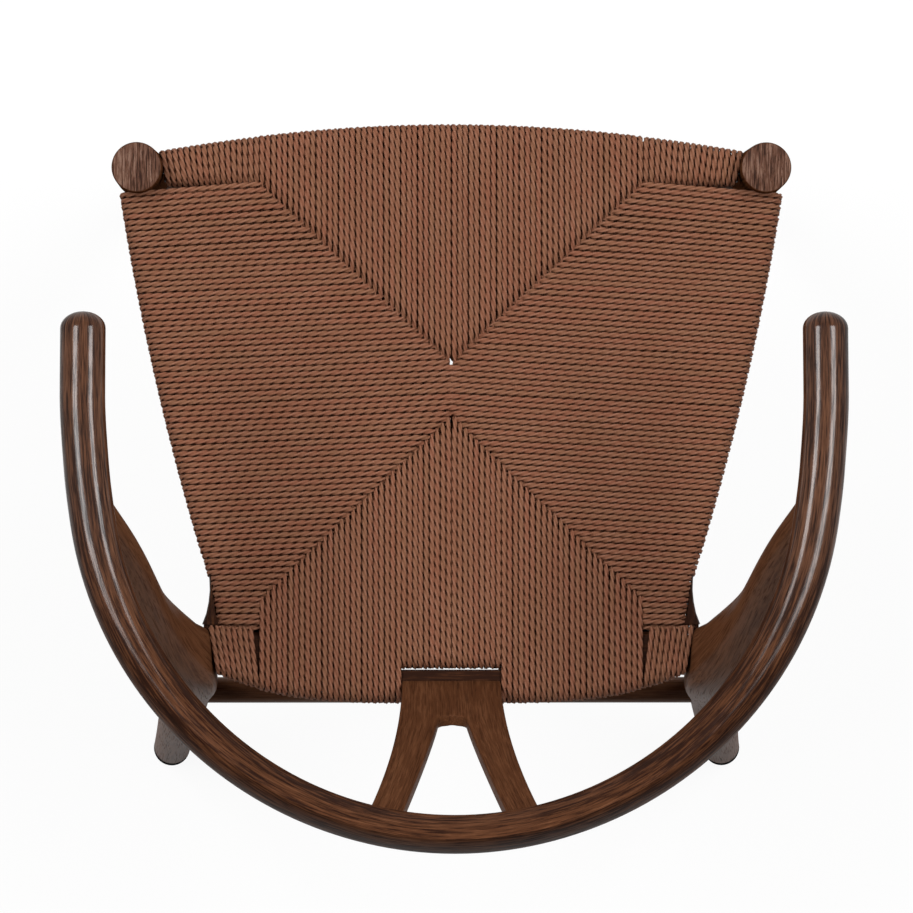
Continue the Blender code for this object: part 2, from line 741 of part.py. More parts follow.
def front_tip(x):
    """Where the front panel's strands end, on the diagonals."""
    t = abs(x) / WEAVE_HALF_WIDE
    return mix(WEAVE_FRONT_APEX_Y, WEAVE_FRONT_CORNER_Y, t) - GAP


def back_tip(x):
    t = abs(x) / WEAVE_HALF_WIDE
    return mix(WEAVE_BACK_APEX_Y, WEAVE_BACK_CORNER_Y, t) + GAP


def side_tip(y):
    """Where the left panel's strands end: on the front diagonal, the bridge, or the back diagonal."""
    if y < WEAVE_FRONT_APEX_Y:
        t = (y - WEAVE_FRONT_APEX_Y) / (WEAVE_FRONT_CORNER_Y - WEAVE_FRONT_APEX_Y)
    else:
        t = (y - WEAVE_BACK_APEX_Y) / (WEAVE_BACK_CORNER_Y - WEAVE_BACK_APEX_Y)
    return WEAVE_HALF_WIDE * min(1.0, max(0.0, t)) + GAP


def panel_along_x(name, xs, edge_of, tip_of, way, radius):
    rings = [along_x(x, hairpin(edge_of(x), tip_of(x), way, radius)) for x in xs]
    return loft(name, rings, PAPER_CORD)


def panel_along_y(name, side, ys, edge_of, radius):
    rings = [along_y(y, hairpin(edge_of(y), side_tip(y), -1, radius), side) for y in ys]
    return loft(name, rings, PAPER_CORD)


def make_weave():
    """Folded layers of cord round the four rails, split where they pass through slots."""
    edge = WEAVE_HALF_WIDE - GAP
    sharp = GAP
    panel_along_x("seat_weave_front", steps(-edge, edge, 2 * WEAVE_STEPS),
                  front_rail_front, front_tip, 1, RAIL_EDGE_R)
    for label, sign in (("left", 1), ("right", -1)):
        xs = [sign * x for x in steps(BACK_SLOT_HALF + GAP, edge, WEAVE_STEPS)]
        panel_along_x("seat_weave_back_" + label, xs, back_rail_rear, back_tip, -1, RAIL_EDGE_R)
    inside = BACK_SLOT_HALF - GAP
    panel_along_x("seat_weave_back_middle", (-inside, 0.0, inside),
                  lambda x: BACK_SLOT_FRONT_Y, back_tip, -1, sharp)
    side_rear = HEEL_SLOT_FRONT_Y - GAP
    ys = steps(SIDE_RAIL_FRONT_Y + GAP, WEAVE_FRONT_APEX_Y, WEAVE_STEPS)
    ys += steps(WEAVE_BACK_APEX_Y, HEEL_START_Y, WEAVE_STEPS)
    ys += steps(HEEL_START_Y, side_rear, HEEL_STEPS // 2)[1:]
    rear_ys = (HEEL_SLOT_FRONT_Y + GAP, WEAVE_BACK_CORNER_Y, HEEL_SLOT_REAR_Y - GAP)
    for label, side in (("left", 1), ("right", -1)):
        panel_along_y("seat_weave_" + label, side, ys, side_rail_outer, RAIL_EDGE_R)
        panel_along_y(f"seat_weave_{label}_rear", side, rear_ys, heel_slot_inner, sharp)


def winding_loop(outer, inner):
    """Corners (level, up) of one turn of cord round a rail, from below its outer edge.

    The polygon's sides touch the round that lies half a cord off the rail.
    """
    offset = GAP + CORD / 2
    way = 1 if outer > inner else -1
    reach = (RAIL_EDGE_R + offset) / math.cos(math.pi / 4 / CORNER_STEPS)
    corners = (
        (outer, way, RAIL_BOTTOM_Z, -1), (outer, way, RAIL_TOP_Z, 1),
        (inner, -way, RAIL_TOP_Z, 1), (inner, -way, RAIL_BOTTOM_Z, -1),
    )
    points = []
    for number, (level, sign_u, height, sign_v) in enumerate(corners):
        angles = [math.pi / 2 * (i + 0.5) / CORNER_STEPS for i in range(CORNER_STEPS)]
        if number % 2 == 0:
            angles.reverse()
        for angle in angles:
            points.append((
                level + sign_u * (reach * math.cos(angle) - RAIL_EDGE_R),
                height + sign_v * (reach * math.sin(angle) - RAIL_EDGE_R),
            ))
    return points


def winding_path(side, start_x, end_x, outer_of, inner):
    """Points of a cord wound along a rail from start_x to end_x, with a straight run at both ends."""
    offset = GAP + CORD / 2
    half = 2 * CORNER_STEPS
    per_turn = 4 * CORNER_STEPS
    turns = int((start_x - end_x) / CORD_PITCH - (half + 1) / per_turn)
    count = turns * per_turn + half
    path = [Vector((side * start_x, inner, RAIL_BOTTOM_Z - offset))]
    for i in range(count):
        x = mix(start_x, end_x, (i + 1) / (count + 1))
        u, v = winding_loop(outer_of(x), inner)[i % per_turn]
        path.append(Vector((side * x, u, v)))
    path.append(Vector((side * end_x, inner, RAIL_TOP_Z + offset)))
    return path, turns


def least_self_gap(path):
    """Least clear gap between stretches of a cord that are half a turn or more apart."""
    fine = []
    for a, b in zip(path, path[1:]):
        fine += [a.lerp(b, i / GAP_SAMPLES) for i in range(GAP_SAMPLES)]
    apart = GAP_SAMPLES * 2 * CORNER_STEPS
    least = math.inf
    for i, point in enumerate(fine):
        for other in fine[i + apart:]:
            least = min(least, (point - other).length)
    return least - CORD


def make_winding(name, side, start_x, end_x, outer_of, inner):
    """Cord wound round the bare end of a rail, as one tube."""
    path, turns = winding_path(side, start_x, end_x, outer_of, inner)
    curve = bpy.data.curves.new(name, "CURVE")
    curve.dimensions = "3D"
    curve.bevel_depth = CORD / 2
    curve.bevel_resolution = 1
    curve.use_fill_caps = True
    spline = curve.splines.new("POLY")
    spline.points.add(len(path) - 1)
    for point, place in zip(spline.points, path):
        point.co = (*place, 1.0)
    print(f"{name}: {turns} turns, least gap to itself {least_self_gap(path) * 1000:.2f} mm")
    return add_object(name, curve, PAPER_CORD)


def make_windings():
    end_x = WEAVE_HALF_WIDE + GAP + CORD / 2
    front_x = FRONT_RAIL_HALF_LONG - GAP - CORD / 2
    back_x = BACK_RAIL_HALF_LONG - GAP - CORD / 2
    for label, side in (("left", 1), ("right", -1)):
        make_winding(f"front_{label}_winding", side, front_x, end_x, front_rail_front, FRONT_RAIL_REAR_Y)
        make_winding(f"back_{label}_winding", side, back_x, end_x, back_rail_rear, BACK_RAIL_FRONT_Y)


# Whole chair

def make_seat_frame():
    """Front and back seat rails, the bow and the splat that stands between them."""
    loft("front_seat_rail", front_rail_rings(), STAINED_WOOD)
    back_rail = loft("back_seat_rail", back_rail_rings(), STAINED_WOOD)
    cut(back_rail, back_slot("back_slot_cutter"))
    bow = loft("arm_bow", bow_rings(), STAINED_WOOD)
    make_splat("y_splat", STAINED_WOOD)
    socket = as_cutter(make_splat("splat_socket_cutter", grow=GAP))
    cut(back_rail, socket)
    cut(bow, socket)
    return bow


def make_stretcher(name, half_long, y, z):
    """A stretcher and the cutter for its two mortises."""
    bar = loft(name, stretcher_rings(half_long), STAINED_WOOD)
    bar.location = (0, y, z)
    return stretcher_mortise(name + "_cutter", half_long, y, z)


def make_side(label, side, bow, front_mortise, back_mortise):
    """The legs, side rail and glides of one side, with their joints cut."""
    rail = loft(label + "_seat_rail", side_rail_rings(side), STAINED_WOOD)
    cut(rail, heel_slot(label + "_heel_slot_cutter", side))

    front_x = side * FRONT_LEG_X
    front_leg = make_front_leg("front_leg_" + label, side)
    cut(front_leg, mortise_along_x(label + "_front_rail_cutter", side, FRONT_RAIL_HALF_LONG, FRONT_LEG_Y))
    cut(front_leg, mortise_along_y(label + "_side_front_cutter", side, FRONT_LEG_X, SIDE_RAIL_FRONT_Y,
                                   -1, TENON_THICK))
    cut(front_leg, front_mortise)
    cut(front_leg, stem_hole(label + "_front_stem_cutter", front_x, FRONT_LEG_Y))
    make_glide("glide_front_" + label, front_x, FRONT_LEG_Y)

    foot = back_leg_centre(0.0)
    back_leg = loft("back_leg_" + label, back_leg_rings(side), STAINED_WOOD)
    cut(back_leg, mortise_along_x(label + "_back_rail_cutter", side, BACK_RAIL_HALF_LONG,
                                  back_rail_tenon_y()))
    cut(back_leg, mortise_along_y(label + "_side_rear_cutter", side, side_rear_tenon_x(), SIDE_RAIL_REAR_Y,
                                  1, HEEL_TENON_THICK))
    cut(back_leg, back_mortise)
    cut(back_leg, stem_hole(label + "_back_stem_cutter", side * foot.x, foot.y))
    make_glide("glide_back_" + label, side * foot.x, foot.y)
    cut(bow, as_cutter(loft(label + "_leg_socket_cutter", back_leg_rings(side, GAP))))


def main():
    clear_scene()
    bpy.context.scene.collection.objects.link(bpy.data.objects.new("chair", None))
    bow = make_seat_frame()
    front_half = FRONT_LEG_X - front_leg_radius(FRONT_STRETCHER_Z) - GAP
    front_mortise = make_stretcher("front_stretcher", front_half, FRONT_LEG_Y, FRONT_STRETCHER_Z)
    back_half = least_leg_centre(BACK_STRETCHER_Z, STRETCHER_HIGH)[0] - SHIN_R - GAP
    back_y = back_leg_centre(BACK_STRETCHER_Z).y
    back_mortise = make_stretcher("back_stretcher", back_half, back_y, BACK_STRETCHER_Z)
    for label, side in (("left", 1), ("right", -1)):
        make_side(label, side, bow, front_mortise, back_mortise)
    make_weave()
    make_windings()


main()
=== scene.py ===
"""Looks of the armchair: bent and turned wood, a seat of twisted paper cord, and the stage it stands on."""

import math
import random

import bmesh
import bpy
import numpy as np
from bpy.props import FloatProperty, FloatVectorProperty, PointerProperty
from mathutils import Matrix, Vector


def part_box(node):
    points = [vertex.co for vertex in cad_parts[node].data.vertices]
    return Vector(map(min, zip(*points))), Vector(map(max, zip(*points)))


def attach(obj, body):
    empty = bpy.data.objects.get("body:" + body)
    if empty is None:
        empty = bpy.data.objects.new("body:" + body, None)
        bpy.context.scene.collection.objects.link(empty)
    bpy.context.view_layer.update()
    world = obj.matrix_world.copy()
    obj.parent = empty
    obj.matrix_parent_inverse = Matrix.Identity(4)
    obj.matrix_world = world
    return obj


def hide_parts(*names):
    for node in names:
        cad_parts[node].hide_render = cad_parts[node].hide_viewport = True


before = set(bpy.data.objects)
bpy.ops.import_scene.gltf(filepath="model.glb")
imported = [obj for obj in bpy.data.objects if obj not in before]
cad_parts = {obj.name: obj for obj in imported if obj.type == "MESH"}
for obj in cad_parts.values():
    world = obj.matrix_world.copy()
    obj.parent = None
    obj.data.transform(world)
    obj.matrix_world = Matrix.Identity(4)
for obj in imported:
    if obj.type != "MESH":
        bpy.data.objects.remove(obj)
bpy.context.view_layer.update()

bl_info = {
    "name": "Armchair with a woven seat",
    "version": (1, 0, 0),
    "blender": (4, 5, 0),
    "location": "View3D > Sidebar > Chair",
    "description": "Dresses the armchair's frame with smooth wood and real strands of cord",
    "category": "Object",
}

SIDES = (("left", 1), ("right", -1))
PANELS = ("front", "left", "right", "back_left", "back_middle", "back_right")

# Clearance between pieces, and the angle from which an edge is drawn sharp
GAP = 0.0003
SMOOTH_ANGLE = math.radians(38)

# Seat rails
RAIL_TOP_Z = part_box("front_seat_rail")[1].z
RAIL_BOTTOM_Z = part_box("front_seat_rail")[0].z
RAIL_Z = (RAIL_TOP_Z + RAIL_BOTTOM_Z) / 2
RAIL_EDGE_R = 0.007
RAIL_TENON_LONG = 0.0115

# Front legs and front rail
FRONT_LEG_LOW, FRONT_LEG_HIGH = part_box("front_leg_left")
FRONT_LEG_X = (FRONT_LEG_LOW.x + FRONT_LEG_HIGH.x) / 2
FRONT_LEG_Y = (FRONT_LEG_LOW.y + FRONT_LEG_HIGH.y) / 2
FRONT_LEG_TOP_R = 0.0184
FRONT_LEG_BELLY_R = 0.0192
FRONT_LEG_BELLY_Z = RAIL_Z - 0.0450
FRONT_LEG_FOOT_R = 0.0130
LEG_EDGE_R = 0.0022
LEG_TOP_EDGE_R = 0.0014
FLAT_TOP = 0.0002
FOOT_RIM = 0.0090
FRONT_RAIL_END_WIDE = 0.0190
FRONT_RAIL_BOW = 0.0195
FRONT_RAIL_REAR_Y = FRONT_LEG_Y + FRONT_RAIL_END_WIDE / 2
FRONT_RAIL_HALF_LONG = FRONT_LEG_X - FRONT_LEG_BELLY_R - GAP

# Arm bow
BOW_R = 0.2541
BOW_CENTRE_Y = -0.0082
ARM_LONG = 0.0958
ARM_TIP_Y = BOW_CENTRE_Y - ARM_LONG
ARM_FLARE = 0.0050
ARM_FLARE_START_Y = 0.0300
ARM_FLARE_LONG = 0.0900
ARM_HALF_WIDE = 0.0159
ARM_HALF_HIGH = 0.0142
ARM_TIP_LONG = 0.0120
ARM_TIP_FLAT = math.radians(2)
ARM_Z = 0.6860
BOW_BACK_Z = 0.7380
BOW_BACK_HALF_THICK = 0.0136
BOW_BACK_HALF_HIGH = 0.0215
BOW_BACK_LEAN = math.radians(6)
BOW_ROUND_ANGLE = math.radians(84)
BOW_TALL_ANGLE = math.radians(12)

# Back legs
KNEE_X = 0.1900
KNEE_Y = 0.1372
KNEE_HALF_X = 0.0192
KNEE_HALF_Y = 0.0220
KNEE_BLEND = 0.040
BACK_FOOT_X = 0.2224
BACK_FOOT_Y = 0.2218
BACK_FOOT_R = 0.0145
SHIN_R = 0.0178
UPPER_LEG_OUT_BOW = 0.0070
UPPER_LEG_HALF_THICK = 0.0165
UPPER_LEG_HALF_DEEP = 0.0205
UPPER_LEG_WIDEST_SHARE = 0.40
LEG_TIP_R = 0.0130
LEG_TIP_HALF_DEEP = 0.0140
LEG_TIP_INSIDE_BOW = 0.0020
LEG_TIP_BELOW_BOW = 0.0040
LEG_SWAY = 0.0040
ARM_LEG_Y = 0.0220
LEG_BOTTOM_Z = FRONT_LEG_LOW.z
FOOT_Z = LEG_BOTTOM_Z + LEG_EDGE_R

# Back rail, side rails and the slots that the cord passes through
BACK_RAIL_END_WIDE = 0.0269
BACK_RAIL_BOW = 0.0233
BACK_RAIL_BOW_POWER = 4
BACK_RAIL_FRONT_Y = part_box("back_seat_rail")[0].y
BACK_RAIL_MID_REAR_Y = BACK_RAIL_FRONT_Y + BACK_RAIL_END_WIDE + BACK_RAIL_BOW
BACK_RAIL_HALF_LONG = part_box("back_seat_rail")[1].x - RAIL_TENON_LONG
SIDE_RAIL_FRONT_Y = FRONT_LEG_Y + FRONT_LEG_BELLY_R + GAP
SIDE_RAIL_REAR_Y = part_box("left_seat_rail")[1].y - RAIL_TENON_LONG
SIDE_RAIL_FRONT_OUTER_X = 0.2408
SIDE_RAIL_REAR_OUTER_X = 0.1645
SIDE_RAIL_BOW = 0.0068
SIDE_RAIL_WIDE = 0.0220
HEEL_LONG = 0.0500
HEEL_WAIST_X = 0.1780
HEEL_FLARE = 0.0060
HEEL_FLARE_POWER = 4
HEEL_SLOT_LONG = 0.0320
HEEL_SLOT_END = 0.0045
HEEL_SLOT_FRONT_X = 0.1733
HEEL_SLOT_REAR_X = 0.1690
SLOT_BEND_R = 0.0055

# Forked splat
SPLAT_THICK = 0.0085
SPLAT_BASE_HALF = 0.0365
SPLAT_TOP_HALF = 0.0643
SPLAT_SIDE_POWER = 1.9
SPLAT_FORK_HALF = 0.0098
SPLAT_FORK_TOP_HALF = 0.0398
SPLAT_FORK_POWER = 1.14
SPLAT_FORK_UP = 0.0748
SPLAT_FORK_ROUND = 0.0068
SPLAT_FORK_CROWN = 0.0012
SPLAT_CROWN_POWER = 8
SPLAT_FOOT_SUNK = 0.0080
SPLAT_TOP_BELOW_BOW = 0.0090
SPLAT_EDGE_R = 0.0011
SPLAT_CORNER = math.radians(60)
SPLAT_FOOT_Y = BACK_RAIL_MID_REAR_Y - SPLAT_THICK
BACK_SLOT_TO_SPLAT = 0.0081
BACK_SLOT_WIDE = 0.0062
BACK_SLOT_REAR_Y = SPLAT_FOOT_Y - SPLAT_THICK / 2 - BACK_SLOT_TO_SPLAT
BACK_SLOT_FRONT_Y = BACK_SLOT_REAR_Y - BACK_SLOT_WIDE
BACK_SLOT_HALF = SPLAT_BASE_HALF + GAP

# Stretchers
STRETCHER_THICK = 0.0195
STRETCHER_HIGH = 0.0280
STRETCHER_TAPER = 0.18
STRETCHER_INTO_LEG = 0.0060

# Where the panels of the woven seat meet
WEAVE_HALF_WIDE = 0.1415
WEAVE_FRONT_APEX_Y = -0.0812
WEAVE_BACK_APEX_Y = -0.0466
WEAVE_FRONT_CORNER_Y = -0.2143
WEAVE_BACK_CORNER_Y = 0.0887

# How the cord lies
FIRST_SIDE_SLANT = 0.080
SIDE_SLANT = 0.045
LAST_SIDE_SLANT = 0.005
FIRST_SLANT_LONG = 0.060
LAST_SLANT_LONG = 0.050
SIDE_START_PRESS = 0.0020
HEEL_EXTRA_LONG = 0.0087
LAST_STRAND_SINK = 0.0042
HEEL_PRESS = 0.0010
HEEL_EASE = 0.0026
HEEL_EASE_LONG = 0.0200
SLOT_PRESS = 0.0013
SIDE_TUCK = (0.0028, 0.0062)
END_TUCK = (0.0095, 0.0125)
TUCK_TAIL = 0.0180
END_THIN = 0.70
END_THIN_LONG = 0.0140
FRONT_APEX_HALF = 0.0050
BACK_APEX_HALF = 0.0024
FRONT_HOLE = (0.0040, 0.0050)
FRONT_SLIT = (0.0, 0.0130)
BACK_HOLE = (0.0010, 0.0030)
BACK_SLIT = (0.0016, 0.0320)
HOLE_REACH = 0.0140
BRIDGE_OVERLAP = 0.0020
UNDER_STEP_SHARE = 1.7
INSIDE_CLEAR = 0.0120
WANDER = 0.00016
PHASE_WANDER = 0.35
FRONT_WINDING_LEAN = (0.0042, 0.0000)
BACK_WINDING_LEAN = (0.0055, 0.0046)
BACK_WINDING_LOOSE = 0.0020
BACK_WINDING_OUT = 0.0008

# How boxy a section is: 2 is an ellipse
ROUND = 2.0
SHIN_BOXY = 2.3
KNEE_BOXY = 5.0
UPPER_LEG_BOXY = 2.6
LEG_TIP_BOXY = 2.2
ARM_BOXY = 2.2
BOW_BACK_BOXY = 1.25
STRETCHER_BOXY = 2.4

# How much of the white background shows in the lacquer, how white the floor is to the camera before its
# shadow, and half the floor's side
REFLECTED_WHITE = 0.25
FLOOR_WHITE = 0.92
FLOOR_HALF = 15.0

# How much darker the wood of each piece is, or lighter if negative. The rails' darkness is painted shade,
# for the shade they lie in under the cord and the splat; the lightness of the legs, stretchers and splat is
# painted light. Then where the shine wears off: the bow towards its back, and the legs above the seat
RAIL_PAINTED_SHADE = 0.12
BOW_SHADE = 0.045
LEG_PAINTED_LIGHT = -0.08
SPLAT_PAINTED_LIGHT = -0.02
BOW_FADE = ("Y", 0.0, 0.155, 0.12)
LEG_FADE = ("Z", 0.39, 0.50, 0.08)
COAT_ROUGH = 0.14

# How far apart the pieces are cut in the same log, so that no two have the same grain
FRONT_LEG_CUT = 2
SPLAT_CUT = 3
STRETCHER_CUT = 9

# Noise in the wood, in cells to the metre across, through and along the grain, and its shares in the tone
LINE_CELLS = (760.0, 560.0, 42.0)
BAND_CELLS = (130.0, 95.0, 7.0)
CLOUD_CELLS = (24.0, 24.0, 7.0)
PORE_CELLS = (1300.0, 1300.0, 34.0)
LINE_SHARE = 0.60
BAND_SHARE = 0.22
CLOUD_SHARE = 0.18

# Seeds of the strands' wander. A left piece adds 1 to its seed and a right one takes 1 away
FRONT_SEED = 11
MIDDLE_SEED = 12
BACK_SEED = 13
FLANK_SEED = 16
HEEL_SEED = 19
INSIDE_SEED = 23
WINDING_SEED = 23

# The picture's width and the camera's focal length, in pixels
PICTURE_WIDE = 913
FOCAL_LONG = 6182.8

# Strip lamps: their size, their distance from the seat, and where they stand along the chair's depth
LAMP_WIDE = 1.5
LAMP_LONG = 3.6
LAMP_FAR = 5.0
LAMP_Y = -1.6

# Mesh fineness
TURN_STEPS = 56
OVAL_POINTS = 36
BOW_ARC_STEPS = 110
ARM_STEPS = 12
ARM_TIP_STEPS = 9
LEG_STEPS = 64
STRETCHER_STEPS = 24
ARC_STEPS = 5
TUCK_STEPS = 4
SPLAT_ARM_COLUMNS = 6
SPLAT_FORK_COLUMNS = 6
SPLAT_BASE_ROWS = 10
SPLAT_ARM_ROWS = 30
SPLAT_ROUND_ROWS = 5
SPLAT_EDGE_STEPS = 3
CORD_PLIES = 3
PLY_POINTS = 4
RINGS_PER_LAY = 10
WINDING_POINTS = 28
INSIDE_STEPS = 60
BESIDE_STEPS = 24
TIP_TRIES = 6


class ChairWood(bpy.types.PropertyGroup):
    """Colours and gloss of the stained wood and of the foot glides."""

    dark: FloatVectorProperty(
        name="Dark Grain", description="Colour of the dark growth lines",
        subtype="COLOR", size=3, min=0, max=1, default=(0.024, 0.0080, 0.0038))
    middle: FloatVectorProperty(
        name="Body", description="Main colour of the stained wood",
        subtype="COLOR", size=3, min=0, max=1, default=(0.086, 0.0315, 0.0130))
    light: FloatVectorProperty(
        name="Light Grain", description="Colour of the light growth lines",
        subtype="COLOR", size=3, min=0, max=1, default=(0.140, 0.0560, 0.0250))
    pore: FloatVectorProperty(
        name="Pores", description="Colour of the open pores",
        subtype="COLOR", size=3, min=0, max=1, default=(0.008, 0.0035, 0.0022))
    sawn: FloatVectorProperty(
        name="Sawn End", description="Main colour of the legs' flat tops",
        subtype="COLOR", size=3, min=0, max=1, default=(0.100, 0.042, 0.024))
    dusty: FloatVectorProperty(
        name="Pale End Lines", description="Colour of the pale lines in the legs' flat tops",
        subtype="COLOR", size=3, min=0, max=1, default=(0.206, 0.116, 0.082))
    lacquer: FloatProperty(
        name="Lacquer", description="Weight of the lacquer coat on the arm bow",
        subtype="FACTOR", min=0, max=1, default=0.80)
    satin: FloatProperty(
        name="Satin", description="Weight of the lacquer coat on the rest of the wood",
        subtype="FACTOR", min=0, max=1, default=0.14)
    figure: FloatProperty(
        name="Figure", description="Contrast of the grain on the arm bow",
        min=0, max=3, default=1.2)
    quiet: FloatProperty(
        name="Quiet Figure", description="Contrast of the grain on the rest of the wood",
        min=0, max=3, default=0.7)
    glide: FloatVectorProperty(
        name="Glides", description="Colour of the foot glides",
        subtype="COLOR", size=3, min=0, max=1, default=(0.012, 0.012, 0.013))


class ChairCord(bpy.types.PropertyGroup):
    """Size, lay and colours of the seat's paper cord, with its painted highlight and painted shade."""

    diameter: FloatProperty(
        name="Diameter", description="Thickness of the cord over its plies",
        unit="LENGTH", min=0.002, max=0.006, default=0.0043)
    pitch: FloatProperty(
        name="Pitch", description="Distance from one strand to the next",
        unit="LENGTH", min=0.003, max=0.008, default=0.00416)
    lay: FloatProperty(
        name="Lay", description="Length in which a ply goes once round the cord",
        unit="LENGTH", min=0.01, max=0.08, default=0.0230)
    groove: FloatProperty(
        name="Groove", description="Depth of the grooves between plies, as a share of the radius",
        subtype="FACTOR", min=0, max=0.6, default=0.42)
    reddish: FloatVectorProperty(
        name="Reddish Strand", description="Colour of the redder strands",
        subtype="COLOR", size=3, min=0, max=1, default=(0.230, 0.084, 0.0455))
    brownish: FloatVectorProperty(
        name="Brownish Strand", description="Colour of the browner strands",
        subtype="COLOR", size=3, min=0, max=1, default=(0.216, 0.094, 0.049))
    # Painted highlight: a paler colour laid on the plies' crowns, mottled by noise
    pale: FloatVectorProperty(
        name="Painted Crown Highlight", description="Colour of the highlight painted on the plies' crowns",
        subtype="COLOR", size=3, min=0, max=1, default=(0.285, 0.134, 0.084))
    # Painted shade: the dark colour laid down the plies' grooves and on the strands' flanks
    deep: FloatVectorProperty(
        name="Painted Groove Shade", description="Colour of the shade painted between plies and strands",
        subtype="COLOR", size=3, min=0, max=1, default=(0.060, 0.015, 0.005))


class ChairStage(bpy.types.PropertyGroup):
    """Camera, lamps and floor."""

    eye: FloatVectorProperty(
        name="Camera", description="Where the camera stands",
        subtype="TRANSLATION", unit="LENGTH", size=3, default=(0.0395, -0.0150, 5.0))
    target: FloatVectorProperty(
        name="Target", description="The point that the camera looks at",
        subtype="TRANSLATION", unit="LENGTH", size=3, default=(-0.0037, -0.0146, 0.45))
    view: FloatProperty(
        name="Field of View", description="Angle of view across the square picture",
        subtype="ANGLE", min=0.01, max=2.0, default=2 * math.atan(PICTURE_WIDE / 2 / FOCAL_LONG))
    lamp_angle: FloatProperty(
        name="Lamp Angle", description="How far each strip lamp stands from overhead",
        subtype="ANGLE", min=0.0, max=1.5, default=math.radians(29))
    lamp_power: FloatProperty(
        name="Lamp Power", description="Power of each strip lamp",
        unit="POWER", min=0.0, max=500.0, default=193.0)
    fill: FloatProperty(
        name="Fill", description="Strength of the light from all round",
        min=0.0, max=2.0, default=0.42)
    floor: FloatVectorProperty(
        name="Floor", description="Colour of the floor",
        subtype="COLOR", size=3, min=0, max=1, default=(0.45, 0.45, 0.45))


def smooth(t):
    """Ease from 0 to 1."""
    t = min(1.0, max(0.0, t))
    return t * t * (3 - 2 * t)


def arch(t):
    """Rise from 0 to 1 and back."""
    return 4 * t * (1 - t)


def mix(a, b, t):
    return a + (b - a) * t


def steps(start, end, count):
    return [mix(start, end, i / count) for i in range(count + 1)]


def through(stations, z):
    """Read a smooth value at height z from (height, value) stations."""
    for (z0, v0), (z1, v1) in zip(stations, stations[1:]):
        if z <= z1:
            return mix(v0, v1, smooth((z - z0) / (z1 - z0)))
    return stations[-1][1]


def oval(half_u, half_v, power, points=OVAL_POINTS):
    """Superellipse: power 2 is an ellipse, more is boxier, less has a soft ridge."""
    places = []
    for i in range(points):
        angle = math.tau * i / points
        c, s = math.cos(angle), math.sin(angle)
        places.append((
            math.copysign(abs(c) ** (2 / power), c) * half_u,
            math.copysign(abs(s) ** (2 / power), s) * half_v,
        ))
    return places


# Shader maths

class Shade:
    """A node's output that can be used in sums, and the way to add the next node."""

    def __init__(self, tree, socket=None):
        self.tree = tree
        self.socket = socket

    def node(self, kind, settings=None, inputs=None, output=0):
        """Add a node with its settings, then the values or links of its inputs."""
        made = self.tree.nodes.new(kind)
        for name, value in (settings or {}).items():
            setattr(made, name, value)
        for name, value in (inputs or {}).items():
            if isinstance(value, Shade):
                self.tree.links.new(value.socket, made.inputs[name])
            else:
                made.inputs[name].default_value = value
        return Shade(self.tree, made.outputs[output])

    def attribute(self, name):
        """A vector that the mesh holds at each of its points."""
        return self.node("ShaderNodeAttribute", {"attribute_name": name}, {}, "Vector")

    def axis(self, letter):
        """X, Y or Z of this vector."""
        return self.node("ShaderNodeSeparateXYZ", {}, {0: self}, letter)

    def maths(self, operation, a, b=0.0):
        return self.node("ShaderNodeMath", {"operation": operation}, {0: a, 1: b})

    def __add__(self, other):
        return self.maths("ADD", self, other)

    def __radd__(self, other):
        return self.maths("ADD", other, self)

    def __sub__(self, other):
        return self.maths("SUBTRACT", self, other)

    def __rsub__(self, other):
        return self.maths("SUBTRACT", other, self)

    def __mul__(self, other):
        return self.maths("MULTIPLY", self, other)

    def __rmul__(self, other):
        return self.maths("MULTIPLY", other, self)

    def __abs__(self):
        return self.maths("ABSOLUTE", self)

    def ease(self, low, high):
        """0 below low, 1 above high, smooth between."""
        inputs = {"Value": self, "From Min": low, "From Max": high}
        return self.node("ShaderNodeMapRange", {"interpolation_type": "SMOOTHSTEP"}, inputs)

    def blend(self, a, b):
        """Colour a where this is 0, b where it is 1: the mix node's inputs 6 and 7, and its output 2."""
        inputs = {0: self, 6: a, 7: b}
        return self.node("ShaderNodeMix", {"data_type": "RGBA"}, inputs, 2)

    def bump(self, strength, distance=0.0002):
        """A normal that follows this height."""
        inputs = {"Strength": strength, "Distance": distance, "Height": self}
        return self.node("ShaderNodeBump", {}, inputs)

    def stretched(self, sizes, detail=2.0, roughness=0.5):
        """Noise over this vector, with so many cells to the metre along each axis."""
        scaled = self.node("ShaderNodeVectorMath", {"operation": "MULTIPLY"}, {0: self, 1: sizes})
        inputs = {"Vector": scaled, "Scale": 1.0, "Detail": detail, "Roughness": roughness}
        return self.node("ShaderNodeTexNoise", {}, inputs)


def rgba(colour):
    return (*colour, 1.0)


def new_material(name):
    """A material with an empty Principled shader, and a Shade to add nodes with."""
    material = bpy.data.materials.new(name)
    material.use_nodes = True
    shader = material.node_tree.nodes["Principled BSDF"]
    return material, shader, Shade(material.node_tree)


def feed(shade, shader, **inputs):
    """Link shades to a shader's sockets; words in the names are parted by underscores."""
    for name, value in inputs.items():
        shade.tree.links.new(value.socket, shader.inputs[name.replace("_", " ")])


